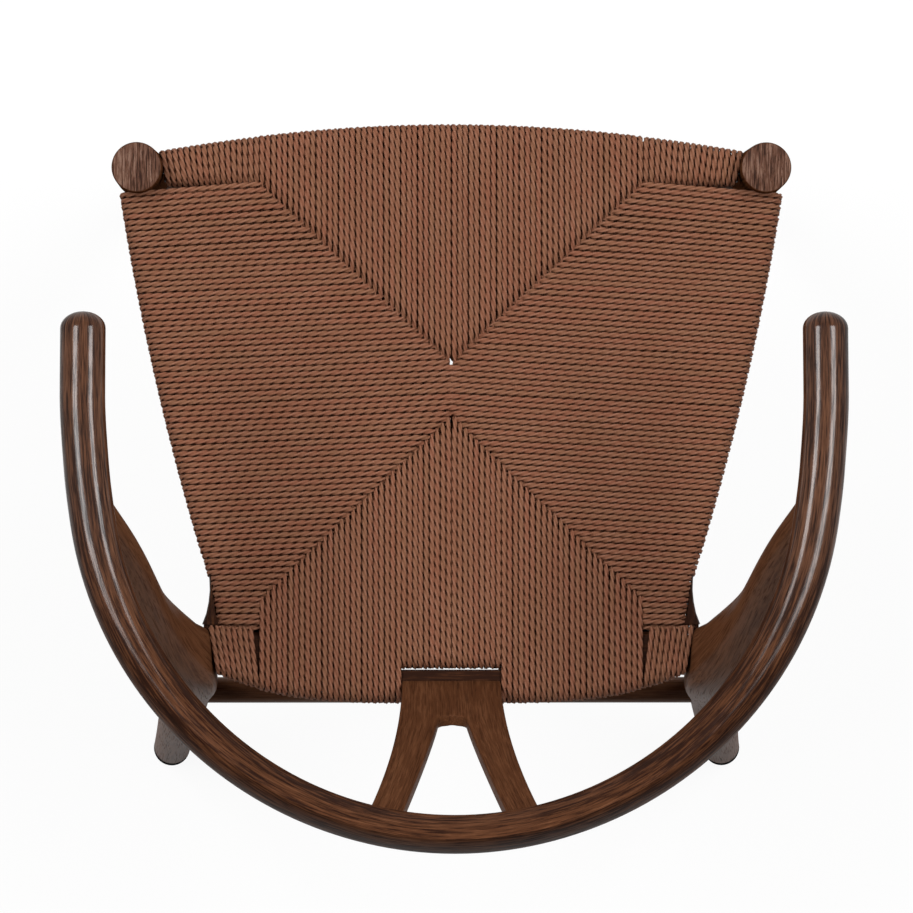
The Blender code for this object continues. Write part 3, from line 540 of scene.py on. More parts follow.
def stained_wood(name, figure, lacquer=0.0, shade=0.0, gloss=0.05, turn=None, fade=None):
    """Dark open-grained wood, with more or less figure in its grain and lacquer over it.

    shade makes it darker, or lighter if negative: painted shade on the rails, and painted light on the
    legs, stretchers and splat. The grain runs along Z of the grain attribute, or of turned Object
    coordinates.
    Lacquered wood also needs fade: an axis, where along it the lacquer begins to wear and where that ends,
    and the share that is left.
    """
    known = bpy.data.materials.get(name)
    if known:
        return known
    wood = bpy.context.scene.chair_wood
    material, shader, start = new_material(name)
    place = start.node("ShaderNodeTexCoord", output="Object")
    if turn is None:
        grain = start.attribute("grain")
    else:
        grain = start.node("ShaderNodeMapping", {}, {"Vector": place, "Rotation": turn})
    lines = grain.stretched(LINE_CELLS, 4.0, 0.65)
    bands = grain.stretched(BAND_CELLS, 2.0)
    cloud = grain.stretched(CLOUD_CELLS, 2.0)
    pores = grain.stretched(PORE_CELLS, 1.0).ease(0.56, 0.66)
    noise = lines * LINE_SHARE + bands * BAND_SHARE + cloud * CLOUD_SHARE
    # shade moves the whole tone: painted shade on the rails, painted light on the legs, stretchers and
    # splat
    tone = (noise - 0.5) * figure - shade
    body = tone.ease(-0.12, 0.0).blend(rgba(wood.dark), rgba(wood.middle))
    body = tone.ease(0.0, 0.12).blend(body, rgba(wood.light))
    colour = (pores * (0.45 * figure)).blend(body, rgba(wood.pore))
    height = lines * 0.3 - pores * figure
    bump = height.bump(0.08 * figure ** 4)
    rough = cloud * 0.14 + pores * 0.2 + 0.36
    feed(start, shader, Base_Color=colour, Roughness=rough, Normal=bump)
    shader.inputs["Specular IOR Level"].default_value = gloss
    if lacquer:
        axis, begin, end, left = fade
        broken = (1.0 - lines.ease(0.36, 0.56)) * (0.4 * figure)
        coat = (1.0 - broken) * (1.0 - pores * (0.3 * figure ** 2)) * lacquer
        worn = place.axis(axis).ease(begin, end)
        feed(start, shader, Coat_Weight=coat * (1.0 - worn * (1.0 - left)))
        shader.inputs["Coat Roughness"].default_value = COAT_ROUGH
    return material


def end_grain():
    """The flat tops of the turned legs: fine pale and dark lines of sawn wood, with little shine."""
    known = bpy.data.materials.get("end_grain")
    if known:
        return known
    wood = bpy.context.scene.chair_wood
    material, shader, start = new_material("end_grain")
    grain = start.attribute("grain")
    lines = grain.stretched((900.0, 60.0, 5.0), 3.0, 0.6)
    bands = grain.stretched((120.0, 30.0, 5.0), 2.0)
    specks = grain.stretched((1700.0, 420.0, 5.0), 1.0).ease(0.60, 0.72)
    tone = lines * 0.75 + bands * 0.25
    body = tone.ease(0.40, 0.50).blend(rgba(wood.dark), rgba(wood.sawn))
    body = tone.ease(0.50, 0.62).blend(body, rgba(wood.dusty))
    colour = (specks * 0.6).blend(body, rgba(wood.dark))
    bump = lines.bump(0.3)
    feed(start, shader, Base_Color=colour, Roughness=0.60 + specks * 0.2, Normal=bump)
    shader.inputs["Specular IOR Level"].default_value = 0.12
    return material


def paper_cord():
    """Twisted paper: strands of several browns, a painted highlight on the plies' crowns, and painted shade
    between strands and plies.
    """
    known = bpy.data.materials.get("paper_cord")
    if known:
        return known
    cord = bpy.context.scene.chair_cord
    material, shader, start = new_material("paper_cord")
    lie = start.attribute("cord")
    strand = lie.axis("X")
    crown = lie.axis("Z")
    place = start.node("ShaderNodeTexCoord", output="Object")
    own = start.node("ShaderNodeTexWhiteNoise", {"noise_dimensions": "1D"}, {"W": strand})
    stretch = lie.stretched((3.7, 30.0, 0.0), 2.0)
    fibre = place.stretched((900.0, 900.0, 900.0), 2.0)
    patch = place.stretched((60.0, 60.0, 60.0), 2.0)
    hue = (own * 0.35 + stretch * 1.1).ease(0.45, 0.95)
    body = hue.blend(rgba(cord.reddish), rgba(cord.brownish))
    # Painted highlight on the plies' crowns, mottled by the fibre and patch noise
    body = (crown * (fibre * 0.9 + patch * 0.5)).ease(0.35, 0.95).blend(body, rgba(cord.pale))
    # Painted shade on the strands' flanks, which face their neighbours across the panel
    facing = start.node("ShaderNodeNewGeometry", output="Normal")
    across = start.attribute("across")
    product = {"operation": "DOT_PRODUCT"}
    sideways = start.node("ShaderNodeVectorMath", product, {0: facing, 1: across}, "Value")
    flank = abs(sideways).ease(0.60, 1.0)
    # Painted shade: dark down the grooves between plies, more so on the flanks, and dark on the flanks
    # themselves
    groove = (1.0 - crown).ease(0.10, 1.0)
    colour = (groove * (flank * 0.72 + 0.22) + flank * 0.28).blend(body, rgba(cord.deep))
    bump = fibre.bump(0.35, 0.0003)
    feed(start, shader, Base_Color=colour, Roughness=0.62 + fibre * 0.3, Normal=bump)
    shader.inputs["Specular IOR Level"].default_value = 0.20
    return material


def glide_plastic():
    """Black moulded plastic with a faint grain and scuffs."""
    known = bpy.data.materials.get("glide_plastic")
    if known:
        return known
    wood = bpy.context.scene.chair_wood
    material, shader, start = new_material("glide_plastic")
    place = start.node("ShaderNodeTexCoord", output="Object")
    grain = place.stretched((1600.0, 1600.0, 1600.0), 1.0)
    scuff = place.stretched((140.0, 900.0, 200.0), 3.0).ease(0.55, 0.75)
    worn = tuple(0.05 + c for c in wood.glide)
    colour = (scuff * 0.5).blend(rgba(wood.glide), rgba(worn))
    bump = grain.bump(0.2)
    feed(start, shader, Base_Color=colour, Roughness=0.42 + scuff * 0.25, Normal=bump)
    shader.inputs["Specular IOR Level"].default_value = 0.0
    return material


# Putting pieces into the scene

def place_piece(piece, slot, *nodes):
    """Fix a finished piece to the chair's body in place of its CAD nodes."""
    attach(piece, "root")
    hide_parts(*nodes)
    return piece


def add_mesh(name, mesh, material):
    mesh.materials.append(material)
    piece = bpy.data.objects.new(name, mesh)
    bpy.context.scene.collection.objects.link(piece)
    return piece


def leg_wood():
    """The wood of the back legs and the stretchers, with a quiet grain and a satin lacquer, lightened by
    painted light.
    """
    wood = bpy.context.scene.chair_wood
    return stained_wood("leg_wood", wood.quiet, wood.satin, shade=LEG_PAINTED_LIGHT, fade=LEG_FADE)


def bare_wood(name, turn):
    """The seat rails' wood with no lacquer, darkened by painted shade."""
    return stained_wood(name, bpy.context.scene.chair_wood.quiet, shade=RAIL_PAINTED_SHADE, turn=turn)


def finish_wood(name, bm, material, *nodes):
    """Turn a bmesh with a grain layer into a piece of stained wood."""
    bmesh.ops.recalc_face_normals(bm, faces=bm.faces)
    mesh = bpy.data.meshes.new(name)
    bm.to_mesh(mesh)
    bm.free()
    mesh.shade_smooth()
    mesh.set_sharp_from_angle(angle=SMOOTH_ANGLE)
    return place_piece(add_mesh(name, mesh, material), "wood", *nodes)


def wood_bmesh():
    """An empty bmesh whose points also hold their place in the straight grain of the wood."""
    bm = bmesh.new()
    return bm, bm.verts.layers.float_vector.new("grain")


def loft(bm, grain, rings):
    """Solid through rings of (place, place in the grain), extruded from one to the next."""
    face = bm.faces.new([bm.verts.new(place) for place, lines in rings[0]])
    for number, ring in enumerate(rings):
        if number:
            face = bmesh.ops.extrude_discrete_faces(bm, faces=[face])["faces"][0]
        for vertex, (place, lines) in zip(face.verts, ring):
            vertex.co = place
            vertex[grain] = lines
    bmesh.ops.holes_fill(bm, edges=bm.edges, sides=0)


# The arm bow

def bow_height(y):
    back_y = BOW_CENTRE_Y + BOW_R
    return mix(ARM_Z, BOW_BACK_Z, (y - ARM_TIP_Y) / (back_y - ARM_TIP_Y))


def arm_flare(y):
    return ARM_FLARE * smooth((ARM_FLARE_START_Y - y) / ARM_FLARE_LONG)


def bow_arc_point(angle):
    """Middle of the bow at an angle from its rearmost point."""
    y = BOW_CENTRE_Y + BOW_R * math.cos(angle)
    x = BOW_R * math.sin(angle) + math.copysign(arm_flare(y), angle)
    return Vector((x, y, bow_height(y)))


def bow_section(share):
    """Bow section (outward, up): round on the arms, tall, leaning and softly ridged at the back."""
    half_thick = mix(ARM_HALF_WIDE, BOW_BACK_HALF_THICK, share)
    half_high = mix(ARM_HALF_HIGH, BOW_BACK_HALF_HIGH, share)
    lean = BOW_BACK_LEAN * share
    c, s = math.cos(lean), math.sin(lean)
    section = oval(half_thick, half_high, mix(ARM_BOXY, BOW_BACK_BOXY, share))
    return [(u * c + v * s, v * c - u * s) for u, v in section]


def bow_stations():
    """Middle, outward way, section and its scale, from the right arm's tip round the back to the left's."""
    arm = []
    for angle in steps(ARM_TIP_FLAT, math.pi / 2, ARM_TIP_STEPS)[:-1]:
        arm.append((ARM_TIP_Y - ARM_TIP_LONG * math.cos(angle), math.sin(angle)))
    arm += [(y, 1.0) for y in steps(ARM_TIP_Y, BOW_CENTRE_Y, ARM_STEPS)[:-1]]
    stations = []
    for y, scale in arm:
        middle = Vector((BOW_R + arm_flare(y), y, bow_height(y)))
        stations.append((middle, Vector((1, 0, 0)), bow_section(0.0), scale))
    right = []
    for middle, outward, section, scale in stations:
        right.append((Vector((-middle.x, middle.y, middle.z)), -outward, section, scale))
    for angle in steps(-math.pi / 2, math.pi / 2, BOW_ARC_STEPS):
        share = smooth((BOW_ROUND_ANGLE - abs(angle)) / (BOW_ROUND_ANGLE - BOW_TALL_ANGLE))
        outward = Vector((math.sin(angle), math.cos(angle), 0))
        right.append((bow_arc_point(angle), outward, bow_section(share), 1.0))
    return right + stations[::-1]


class CHAIR_OT_arm_bow(bpy.types.Operator):
    """Make the steam-bent arm bow"""
    bl_idname = "chair.arm_bow"
    bl_label = "Arm Bow"

    def execute(self, context):
        bm, grain = wood_bmesh()
        rings = []
        along = 0.0
        before = None
        up = Vector((0, 0, 1))
        for middle, outward, section, scale in bow_stations():
            if before is not None:
                along += (middle - before).length
            before = middle
            rings.append([(middle + (outward * u + up * v) * scale, (u, v, along)) for u, v in section])
        loft(bm, grain, rings)
        wood = context.scene.chair_wood
        bent = stained_wood("bent_wood", wood.figure, wood.lacquer, shade=BOW_SHADE, fade=BOW_FADE)
        finish_wood("bent_arm_bow", bm, bent, "arm_bow")
        return {"FINISHED"}


# Legs

def front_leg_radius(z):
    t = (z - FOOT_Z) / (FRONT_LEG_BELLY_Z - FOOT_Z)
    return mix(FRONT_LEG_FOOT_R, FRONT_LEG_BELLY_R, math.sin(t * math.pi / 2))


def front_leg_profile():
    """Half outline (radius, height) of a turned front leg, from its foot to its flat top."""
    top_z = FRONT_LEG_HIGH.z
    profile = [(0, LEG_BOTTOM_Z), (FRONT_LEG_FOOT_R - LEG_EDGE_R, LEG_BOTTOM_Z)]
    profile += [(front_leg_radius(z), z) for z in steps(FOOT_Z, FRONT_LEG_BELLY_Z, LEG_STEPS // 2)]
    for angle in steps(0.0, math.pi / 2, ARC_STEPS):
        profile.append((
            FRONT_LEG_TOP_R - LEG_TOP_EDGE_R * (1 - math.cos(angle)),
            top_z - LEG_TOP_EDGE_R * (1 - math.sin(angle)),
        ))
    profile.append((0, top_z))
    return profile


def knee_bend(z, lower, corner, upper, high_z):
    """Two straight limbs from the floor to high_z, rounded where they meet at the seat."""
    below = (corner - lower) / RAIL_Z
    above = (upper - corner) / (high_z - RAIL_Z)
    s = z - RAIL_Z
    if s <= -KNEE_BLEND:
        turned = 0.0
    elif s >= KNEE_BLEND:
        turned = s
    else:
        turned = (s + KNEE_BLEND) ** 2 / (4 * KNEE_BLEND)
    return corner + below * s + (above - below) * turned


def leg_tip():
    """Where the left back leg ends, inside the bow."""
    angle = math.acos((ARM_LEG_Y - BOW_CENTRE_Y) / BOW_R)
    return bow_arc_point(angle) - Vector((LEG_TIP_INSIDE_BOW, 0, LEG_TIP_BELOW_BOW))


def back_leg_centre(z):
    """Middle of the left back leg at a height z."""
    tip = leg_tip()
    share = max(0.0, (z - RAIL_Z) / (tip.z - RAIL_Z))
    x = knee_bend(z, BACK_FOOT_X, KNEE_X, tip.x, tip.z)
    y = knee_bend(z, BACK_FOOT_Y, KNEE_Y, tip.y, tip.z)
    sweep = UPPER_LEG_OUT_BOW * arch(share) + LEG_SWAY * math.sin(math.tau * share)
    return Vector((x + sweep, y, z))


def back_leg_rings(side):
    """Level sections of a back leg, turned to follow its sweep towards the arm."""
    tip = leg_tip()
    knee = back_leg_centre(RAIL_Z)
    stretcher_z = sum(corner.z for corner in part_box("back_stretcher")) / 2
    mid_z = mix(RAIL_Z, tip.z, UPPER_LEG_WIDEST_SHARE)
    thick = (
        (0, BACK_FOOT_R), (stretcher_z, SHIN_R), (RAIL_Z, KNEE_HALF_X),
        (mid_z, UPPER_LEG_HALF_THICK), (tip.z, LEG_TIP_R),
    )
    deep = (
        (0, BACK_FOOT_R), (stretcher_z, SHIN_R), (RAIL_Z, KNEE_HALF_Y),
        (mid_z, UPPER_LEG_HALF_DEEP), (tip.z, LEG_TIP_HALF_DEEP),
    )
    boxy = (
        (0, ROUND), (stretcher_z, SHIN_BOXY), (RAIL_Z, KNEE_BOXY),
        (RAIL_Z + KNEE_BLEND / 2, UPPER_LEG_BOXY), (mid_z, UPPER_LEG_BOXY), (tip.z, LEG_TIP_BOXY),
    )
    sweep = math.atan2(tip.x - knee.x, knee.y - tip.y)
    turned = ((0, 0.0), (RAIL_Z, 0.0), (mid_z, sweep), (tip.z, sweep))
    rings = []
    for z in [LEG_BOTTOM_Z] + steps(FOOT_Z, tip.z, LEG_STEPS):
        edge = LEG_EDGE_R if z == LEG_BOTTOM_Z else 0.0
        centre = back_leg_centre(z)
        angle = through(turned, z)
        c, s = math.cos(angle), math.sin(angle)
        ring = []
        for u, v in oval(through(thick, z) - edge, through(deep, z) - edge, through(boxy, z)):
            place = Vector((side * (centre.x + u * c - v * s), centre.y + u * s + v * c, z))
            ring.append((place, (v, u, z + side)))
        rings.append(ring)
    return rings


def mark_faces(bm, low_z, high_z, number):
    """Give the faces between two heights another of the piece's materials."""
    for face in bm.faces:
        if low_z < face.calc_center_median().z < high_z:
            face.material_index = number


class CHAIR_OT_legs(bpy.types.Operator):
    """Make the two turned front legs and the two swept back legs"""
    bl_idname = "chair.legs"
    bl_label = "Legs"

    def execute(self, context):
        for label, side in SIDES:
            bm, grain = wood_bmesh()
            verts = [bm.verts.new((r, 0, z)) for r, z in front_leg_profile()]
            edges = [bm.edges.new(pair) for pair in zip(verts, verts[1:])]
            bmesh.ops.spin(
                bm, geom=verts + edges, cent=(0, 0, 0), axis=(0, 0, 1),
                angle=math.tau, steps=TURN_STEPS, use_merge=True)
            bmesh.ops.remove_doubles(bm, verts=bm.verts, dist=GAP / 100)
            for vertex in bm.verts:
                vertex[grain] = vertex.co + Vector((0, 0, FRONT_LEG_CUT * side))
            bmesh.ops.translate(bm, verts=bm.verts, vec=(side * FRONT_LEG_X, FRONT_LEG_Y, 0))
            # The lowest FOOT_RIM of the leg takes the glides' black plastic, a dark band round the foot
            mark_faces(bm, -math.inf, LEG_BOTTOM_Z + FOOT_RIM, 1)
            mark_faces(bm, FRONT_LEG_HIGH.z - FLAT_TOP, math.inf, 2)
            dull = stained_wood("dull_wood", context.scene.chair_wood.quiet, gloss=0.0)
            leg = finish_wood("turned_front_leg_" + label, bm, dull, "front_leg_" + label)
            leg.data.materials.append(glide_plastic())
            leg.data.materials.append(end_grain())

            bm, grain = wood_bmesh()
            loft(bm, grain, back_leg_rings(side))
            # The lowest FOOT_RIM of the leg takes the glides' black plastic, a dark band round the foot
            mark_faces(bm, -math.inf, LEG_BOTTOM_Z + FOOT_RIM, 1)
            leg = finish_wood("swept_back_leg_" + label, bm, leg_wood(), "back_leg_" + label)
            leg.data.materials.append(glide_plastic())
        return {"FINISHED"}


# The forked splat

def splat_lean():
    head = bow_arc_point(0.0)
    return math.atan2(head.y - SPLAT_FOOT_Y, head.z - RAIL_TOP_Z)


def splat_top():
    """Length of the splat from the rail up to where it ends inside the bow."""
    head = bow_arc_point(0.0)
    return (head.z - RAIL_TOP_Z) / math.cos(splat_lean()) - SPLAT_TOP_BELOW_BOW


def splat_outer(h):
    return mix(SPLAT_BASE_HALF, SPLAT_TOP_HALF, max(0.0, h / splat_top()) ** SPLAT_SIDE_POWER)


def splat_inner(h):
    """Half width of the fork at a height, with rounded corners at its bottom."""
    t = max(0.0, (h - SPLAT_FORK_UP) / (splat_top() - SPLAT_FORK_UP))
    half = mix(SPLAT_FORK_HALF, SPLAT_FORK_TOP_HALF, t ** SPLAT_FORK_POWER)
    below = 1 - (h - SPLAT_FORK_UP) / SPLAT_FORK_ROUND
    if 0 < below <= 1:
        half -= SPLAT_FORK_ROUND * (1 - math.sqrt(1 - below * below))
    return half


def splat_row(h, forked):
    """Points across the splat at a height: one arm, the board between if it isn't forked, and the other."""
    outer, inner = splat_outer(h), splat_inner(max(h, SPLAT_FORK_UP))
    row = [(x, h) for x in steps(-outer, -inner, SPLAT_ARM_COLUMNS)]
    if not forked:
        drop = SPLAT_FORK_CROWN * max(0.0, h / SPLAT_FORK_UP) ** SPLAT_CROWN_POWER
        between = steps(-inner, inner, SPLAT_FORK_COLUMNS)[1:-1]
        row += [(x, h - drop * (1 - (x / inner) ** 2)) for x in between]
    return row + [(x, h) for x in steps(inner, outer, SPLAT_ARM_COLUMNS)]


def splat_grain(x, h):
    """Place in the grain, which follows the arms apart above the fork."""
    inner, outer = splat_inner(max(h, SPLAT_FORK_UP + SPLAT_FORK_ROUND)), splat_outer(h)
    base = splat_inner(SPLAT_FORK_UP + SPLAT_FORK_ROUND)
    if abs(x) <= inner:
        across = x * base / inner
    else:
        share = (abs(x) - inner) / (outer - inner)
        across = math.copysign(mix(base, SPLAT_BASE_HALF, share), x)
    return across


class CHAIR_OT_splat(bpy.types.Operator):
    """Make the forked splat, a board with eased edges that leans against the bow"""
    bl_idname = "chair.splat"
    bl_label = "Forked Splat"

    def execute(self, context):
        bm, grain = wood_bmesh()
        round_top = SPLAT_FORK_UP + SPLAT_FORK_ROUND
        rows = [(h, False) for h in steps(-SPLAT_FOOT_SUNK, SPLAT_FORK_UP, SPLAT_BASE_ROWS)]
        rows += [(h, True) for h in steps(SPLAT_FORK_UP, round_top, SPLAT_ROUND_ROWS)[1:]]
        rows += [(h, True) for h in steps(round_top, splat_top(), SPLAT_ARM_ROWS)[1:]]
        row = [bm.verts.new((x, 0, h)) for x, h in splat_row(*rows[0])]
        edges = [bm.edges.new(pair) for pair in zip(row, row[1:])]
        for h, forked in rows[1:]:
            if forked:
                fork = splat_inner(SPLAT_FORK_UP)
                edges = [e for e in edges if abs(e.verts[0].co.x + e.verts[1].co.x) > 2 * fork]
            made = bmesh.ops.extrude_edge_only(bm, edges=edges)["geom"]
            edges = [g for g in made if isinstance(g, bmesh.types.BMEdge)]
            fresh = [g for g in made if isinstance(g, bmesh.types.BMVert)]
            for vertex, (x, up) in zip(sorted(fresh, key=lambda v: v.co.x), splat_row(h, forked)):
                vertex.co = (x, 0, up)
        bmesh.ops.recalc_face_normals(bm, faces=bm.faces)
        bmesh.ops.solidify(bm, geom=bm.faces[:], thickness=SPLAT_THICK)
        middle = sum(v.co.y for v in bm.verts) / len(bm.verts)
        bmesh.ops.translate(bm, verts=bm.verts, vec=(0, -middle, 0))
        bmesh.ops.recalc_face_normals(bm, faces=bm.faces)
        corners = [e for e in bm.edges if e.calc_face_angle(0.0) > SPLAT_CORNER]
        bmesh.ops.bevel(
            bm, geom=corners, offset=SPLAT_EDGE_R, offset_type="OFFSET", affect="EDGES",
            segments=SPLAT_EDGE_STEPS, profile=0.5, material=-1, clamp_overlap=True)
        for vertex in bm.verts:
            vertex[grain] = (splat_grain(vertex.co.x, vertex.co.z), vertex.co.y, vertex.co.z + SPLAT_CUT)
        bmesh.ops.rotate(bm, verts=bm.verts, cent=(0, 0, 0), matrix=Matrix.Rotation(-splat_lean(), 3, "X"))
        bmesh.ops.translate(bm, verts=bm.verts, vec=(0, SPLAT_FOOT_Y, RAIL_TOP_Z + GAP))
        # The splat's wood is lightened a little by painted light
        wood = stained_wood("splat_wood", context.scene.chair_wood.quiet, shade=SPLAT_PAINTED_LIGHT)
        finish_wood("forked_splat", bm, wood, "y_splat")
        return {"FINISHED"}


# Stretchers, seat rails and glides

class CHAIR_OT_rails(bpy.types.Operator):
    """Make the two stretchers, and finish the seat rails and the foot glides"""
    bl_idname = "chair.rails"
    bl_label = "Rails and Glides"

    def execute(self, context):
        front_half = FRONT_LEG_X - FRONT_LEG_BELLY_R + STRETCHER_INTO_LEG
        low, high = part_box("back_stretcher")
        back_half = back_leg_centre((low.z + high.z) / 2).x - SHIN_R + STRETCHER_INTO_LEG
        for node, half in (("front_stretcher", front_half), ("back_stretcher", back_half)):
            low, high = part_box(node)
            middle = (low + high) / 2
            rings = []
            for x in steps(-half, half, STRETCHER_STEPS):
                swell = 1 - STRETCHER_TAPER * (x / half) ** 2
                along = x + middle.y * STRETCHER_CUT
                ring = []
                for u, v in oval(STRETCHER_THICK / 2, STRETCHER_HIGH / 2 * swell, STRETCHER_BOXY):
                    ring.append((Vector((x, middle.y + u, middle.z + v)), (v, u, along)))
                rings.append(ring)
            bm, grain = wood_bmesh()
            loft(bm, grain, rings)
            finish_wood("oval_" + node, bm, leg_wood(), node)
        # The seat rails take the wood darkened by painted shade
        along_x = bare_wood("bare_wood_along_x", (0, math.pi / 2, 0))
        along_y = bare_wood("bare_wood_along_y", (math.pi / 2, 0, 0))
        for node, wood in (("front", along_x), ("back", along_x), ("left", along_y), ("right", along_y)):
            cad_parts[node + "_seat_rail"].data.materials[0] = wood
        plastic = glide_plastic()
        for label, side in SIDES:
            for end in ("front", "back"):
                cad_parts[f"glide_{end}_{label}"].data.materials[0] = plastic
        return {"FINISHED"}


# Outlines of the rails in plan, and where the panels' strands end

def front_rail_front(x):
    share = 1 - (x / FRONT_RAIL_HALF_LONG) ** 2
    return FRONT_RAIL_REAR_Y - FRONT_RAIL_END_WIDE - FRONT_RAIL_BOW * share


def back_rail_rear(x):
    share = 1 - abs(x / BACK_RAIL_HALF_LONG) ** BACK_RAIL_BOW_POWER
    return BACK_RAIL_FRONT_Y + BACK_RAIL_END_WIDE + BACK_RAIL_BOW * share


def side_bar_outer(y):
    t = (y - SIDE_RAIL_FRONT_Y) / (SIDE_RAIL_REAR_Y - SIDE_RAIL_FRONT_Y)
    return mix(SIDE_RAIL_FRONT_OUTER_X, SIDE_RAIL_REAR_OUTER_X, t) + SIDE_RAIL_BOW * arch(t)


def heel_start_y():
    return SIDE_RAIL_REAR_Y - HEEL_LONG


def heel_slot_ends():
    rear = SIDE_RAIL_REAR_Y - HEEL_SLOT_END
    return rear - HEEL_SLOT_LONG, rear


def side_rail_outer(y):
    """Outer edge of the left side rail: the bar, then the heel that flares to the leg."""
    start = heel_start_y()
    if y <= start:
        return side_bar_outer(y)
    t = (y - start) / HEEL_LONG
    waist = mix(side_bar_outer(start), HEEL_WAIST_X, smooth(2 * t))
    return waist + HEEL_FLARE * t ** HEEL_FLARE_POWER


def heel_slot_inner(y):
    t = (y - heel_slot_ends()[0]) / HEEL_SLOT_LONG
    return mix(HEEL_SLOT_FRONT_X, HEEL_SLOT_REAR_X, t)


def front_tip(x):
    """Where the front panel's strands end, on the diagonals."""
    return mix(WEAVE_FRONT_APEX_Y, WEAVE_FRONT_CORNER_Y, abs(x) / WEAVE_HALF_WIDE)


def back_tip(x):
    return mix(WEAVE_BACK_APEX_Y, WEAVE_BACK_CORNER_Y, abs(x) / WEAVE_HALF_WIDE)


def side_tip(y):
    """Where the left panel's strands end: on the front diagonal, the bridge, or the back diagonal."""
    if y < WEAVE_FRONT_APEX_Y:
        t = (y - WEAVE_FRONT_APEX_Y) / (WEAVE_FRONT_CORNER_Y - WEAVE_FRONT_APEX_Y)
    else:
        t = (y - WEAVE_BACK_APEX_Y) / (WEAVE_BACK_CORNER_Y - WEAVE_BACK_APEX_Y)
    return WEAVE_HALF_WIDE * min(1.0, max(0.0, t))


# Strands of cord

def spread(start, end, pitch):
    """Middles of strands laid side by side from start to end, as near the pitch as fits."""
    count = round(abs(end - start) / pitch)
    return [mix(start, end, (i + 0.5) / count) for i in range(count)]


def straight(start, end, step):
    """Points from start up to, and not including, end."""
    (u0, v0), (u1, v1) = start, end
    count = max(1, round(math.hypot(u1 - u0, v1 - v0) / step))
    return [(mix(u0, u1, i / count), mix(v0, v1, i / count)) for i in range(count)]


def tuck(tip, way, level, drop, shape, tail):
    """The strand's hidden end: it dips under the strands it meets and lies below them.

    shape holds how long before the tip the dip starts, and how long it is.
    """
    before, long = shape
    points = [(tip + way * tail, level - drop)] if tail > long - before else []
    for share in steps(1.0, 0.0, TUCK_STEPS)[:-1]:
        points.append((tip + way * (long * share - before), level - drop * smooth(share)))
    return points


def hairpin(edge, tip, way, radius, cord, shape, tail=TUCK_TAIL):
    """Middle line (level, up) of a strand: from its tuck, round the rail's edge, to its tuck below.

    way points from the rail's outer edge towards the tip.
    """
    half = cord.diameter / 2
    step = cord.lay / RINGS_PER_LAY
    top, bottom = RAIL_TOP_Z + half, RAIL_BOTTOM_Z - half
    reach = radius + half
    bend = edge + way * radius
    near = tip - way * shape[0]
    route = tuck(tip, way, top, 2 * half, shape, tail)
    route += straight((near, top), (bend, top), step)
    for first, middle_z in ((0.0, RAIL_TOP_Z - radius), (math.pi / 2, RAIL_BOTTOM_Z + radius)):
        for angle in steps(first, first + math.pi / 2, ARC_STEPS):
            route.append((bend - way * reach * math.sin(angle), middle_z + reach * math.cos(angle)))
    route += straight((bend, bottom), (near, bottom), step * UNDER_STEP_SHARE)[1:]
    return route + tuck(tip, way, bottom, -2 * half, shape, tail)[::-1]


class Strands:
    """Routes of strands that make one piece, with a small wander that is the same in every run.

    across is the level direction across the strands, and thin the share of their thickness at the tucked
    ends. Plain strands are round and have no twist.
    """

    def __init__(self, name, seed, cord):
        self.name = name
        self.routes = []
        self.across = (1.0, 0.0, 0.0)
        self.thin = 1.0
        self.plain = False
        self.chance = random.Random(seed)
        self.pitch = cord.pitch

    def shift(self):
        return self.chance.uniform(-WANDER, WANDER)

    def under(self, v):
        """How far a strand has moved sideways on its way to the lower layer, half a strand in all."""
        return self.pitch / 2 * smooth((RAIL_TOP_Z - v) / (RAIL_TOP_Z - RAIL_BOTTOM_Z))

    def add_along_y(self, x, tip, hole, slit, route):
        """A strand at one x; its route is in (y, z).

        The middle ones part near the tip. hole, which goes through the seat, and slit, which is only
        in the upper layer, each hold how wide they are and how long they take to close.
        """
        shift = self.shift()
        lift = self.shift()
        outward = math.copysign(1.0, x)
        middle = max(0.0, 1 - abs(x) / HOLE_REACH)
        places = []
        for u, v in route:
            hole_share = 1 - smooth(abs(u - tip) / hole[1])
            slit_share = 1 - smooth(abs(u - tip) / slit[1])
            part = hole[0] * hole_share + slit[0] * slit_share
            aside = self.under(v) * mix(1.0, outward, middle * hole_share)
            places.append((outward * math.hypot(x, part) + aside + shift, u, v + lift))
        self.routes.append(places)

    def add_along_x(self, side, y_at, route):
        """A strand across the seat; its route is in (x on the left half, z)."""
        shift = self.shift()
        lift = self.shift()
        self.routes.append([(side * u, y_at(u) + self.under(v) + shift, v + lift) for u, v in route])


def ply_crowns():
    """How high each point of the cord's section stands on its ply: 0 in a groove, 1 on the crown."""
    return [math.sin(math.pi * (i % PLY_POINTS) / PLY_POINTS) for i in range(CORD_PLIES * PLY_POINTS)]


def ply_profile(cord, groove):
    """Section of the cord as a closed curve: a round of lobes, one for each ply, with grooves between."""
    curve = bpy.data.curves.new("ply_profile", "CURVE")
    curve.dimensions = "2D"
    spline = curve.splines.new("POLY")
    crowns = ply_crowns()
    spline.points.add(len(crowns) - 1)
    spline.use_cyclic_u = True
    for i, point in enumerate(spline.points):
        angle = math.tau * i / len(crowns)
        radius = cord.diameter / 2 * (1 - groove * (1 - crowns[i]))
        point.co = (radius * math.cos(angle), radius * math.sin(angle), 0, 1)
    profile = bpy.data.objects.new("ply_profile", curve)
    bpy.context.scene.collection.objects.link(profile)
    return profile


def close_ends(mesh):
    bm = bmesh.new()
    bm.from_mesh(mesh)
    bmesh.ops.holes_fill(bm, edges=[e for e in bm.edges if e.is_boundary], sides=0)
    bmesh.ops.recalc_face_normals(bm, faces=bm.faces)
    bm.to_mesh(mesh)
    bm.free()
    mesh.shade_smooth()


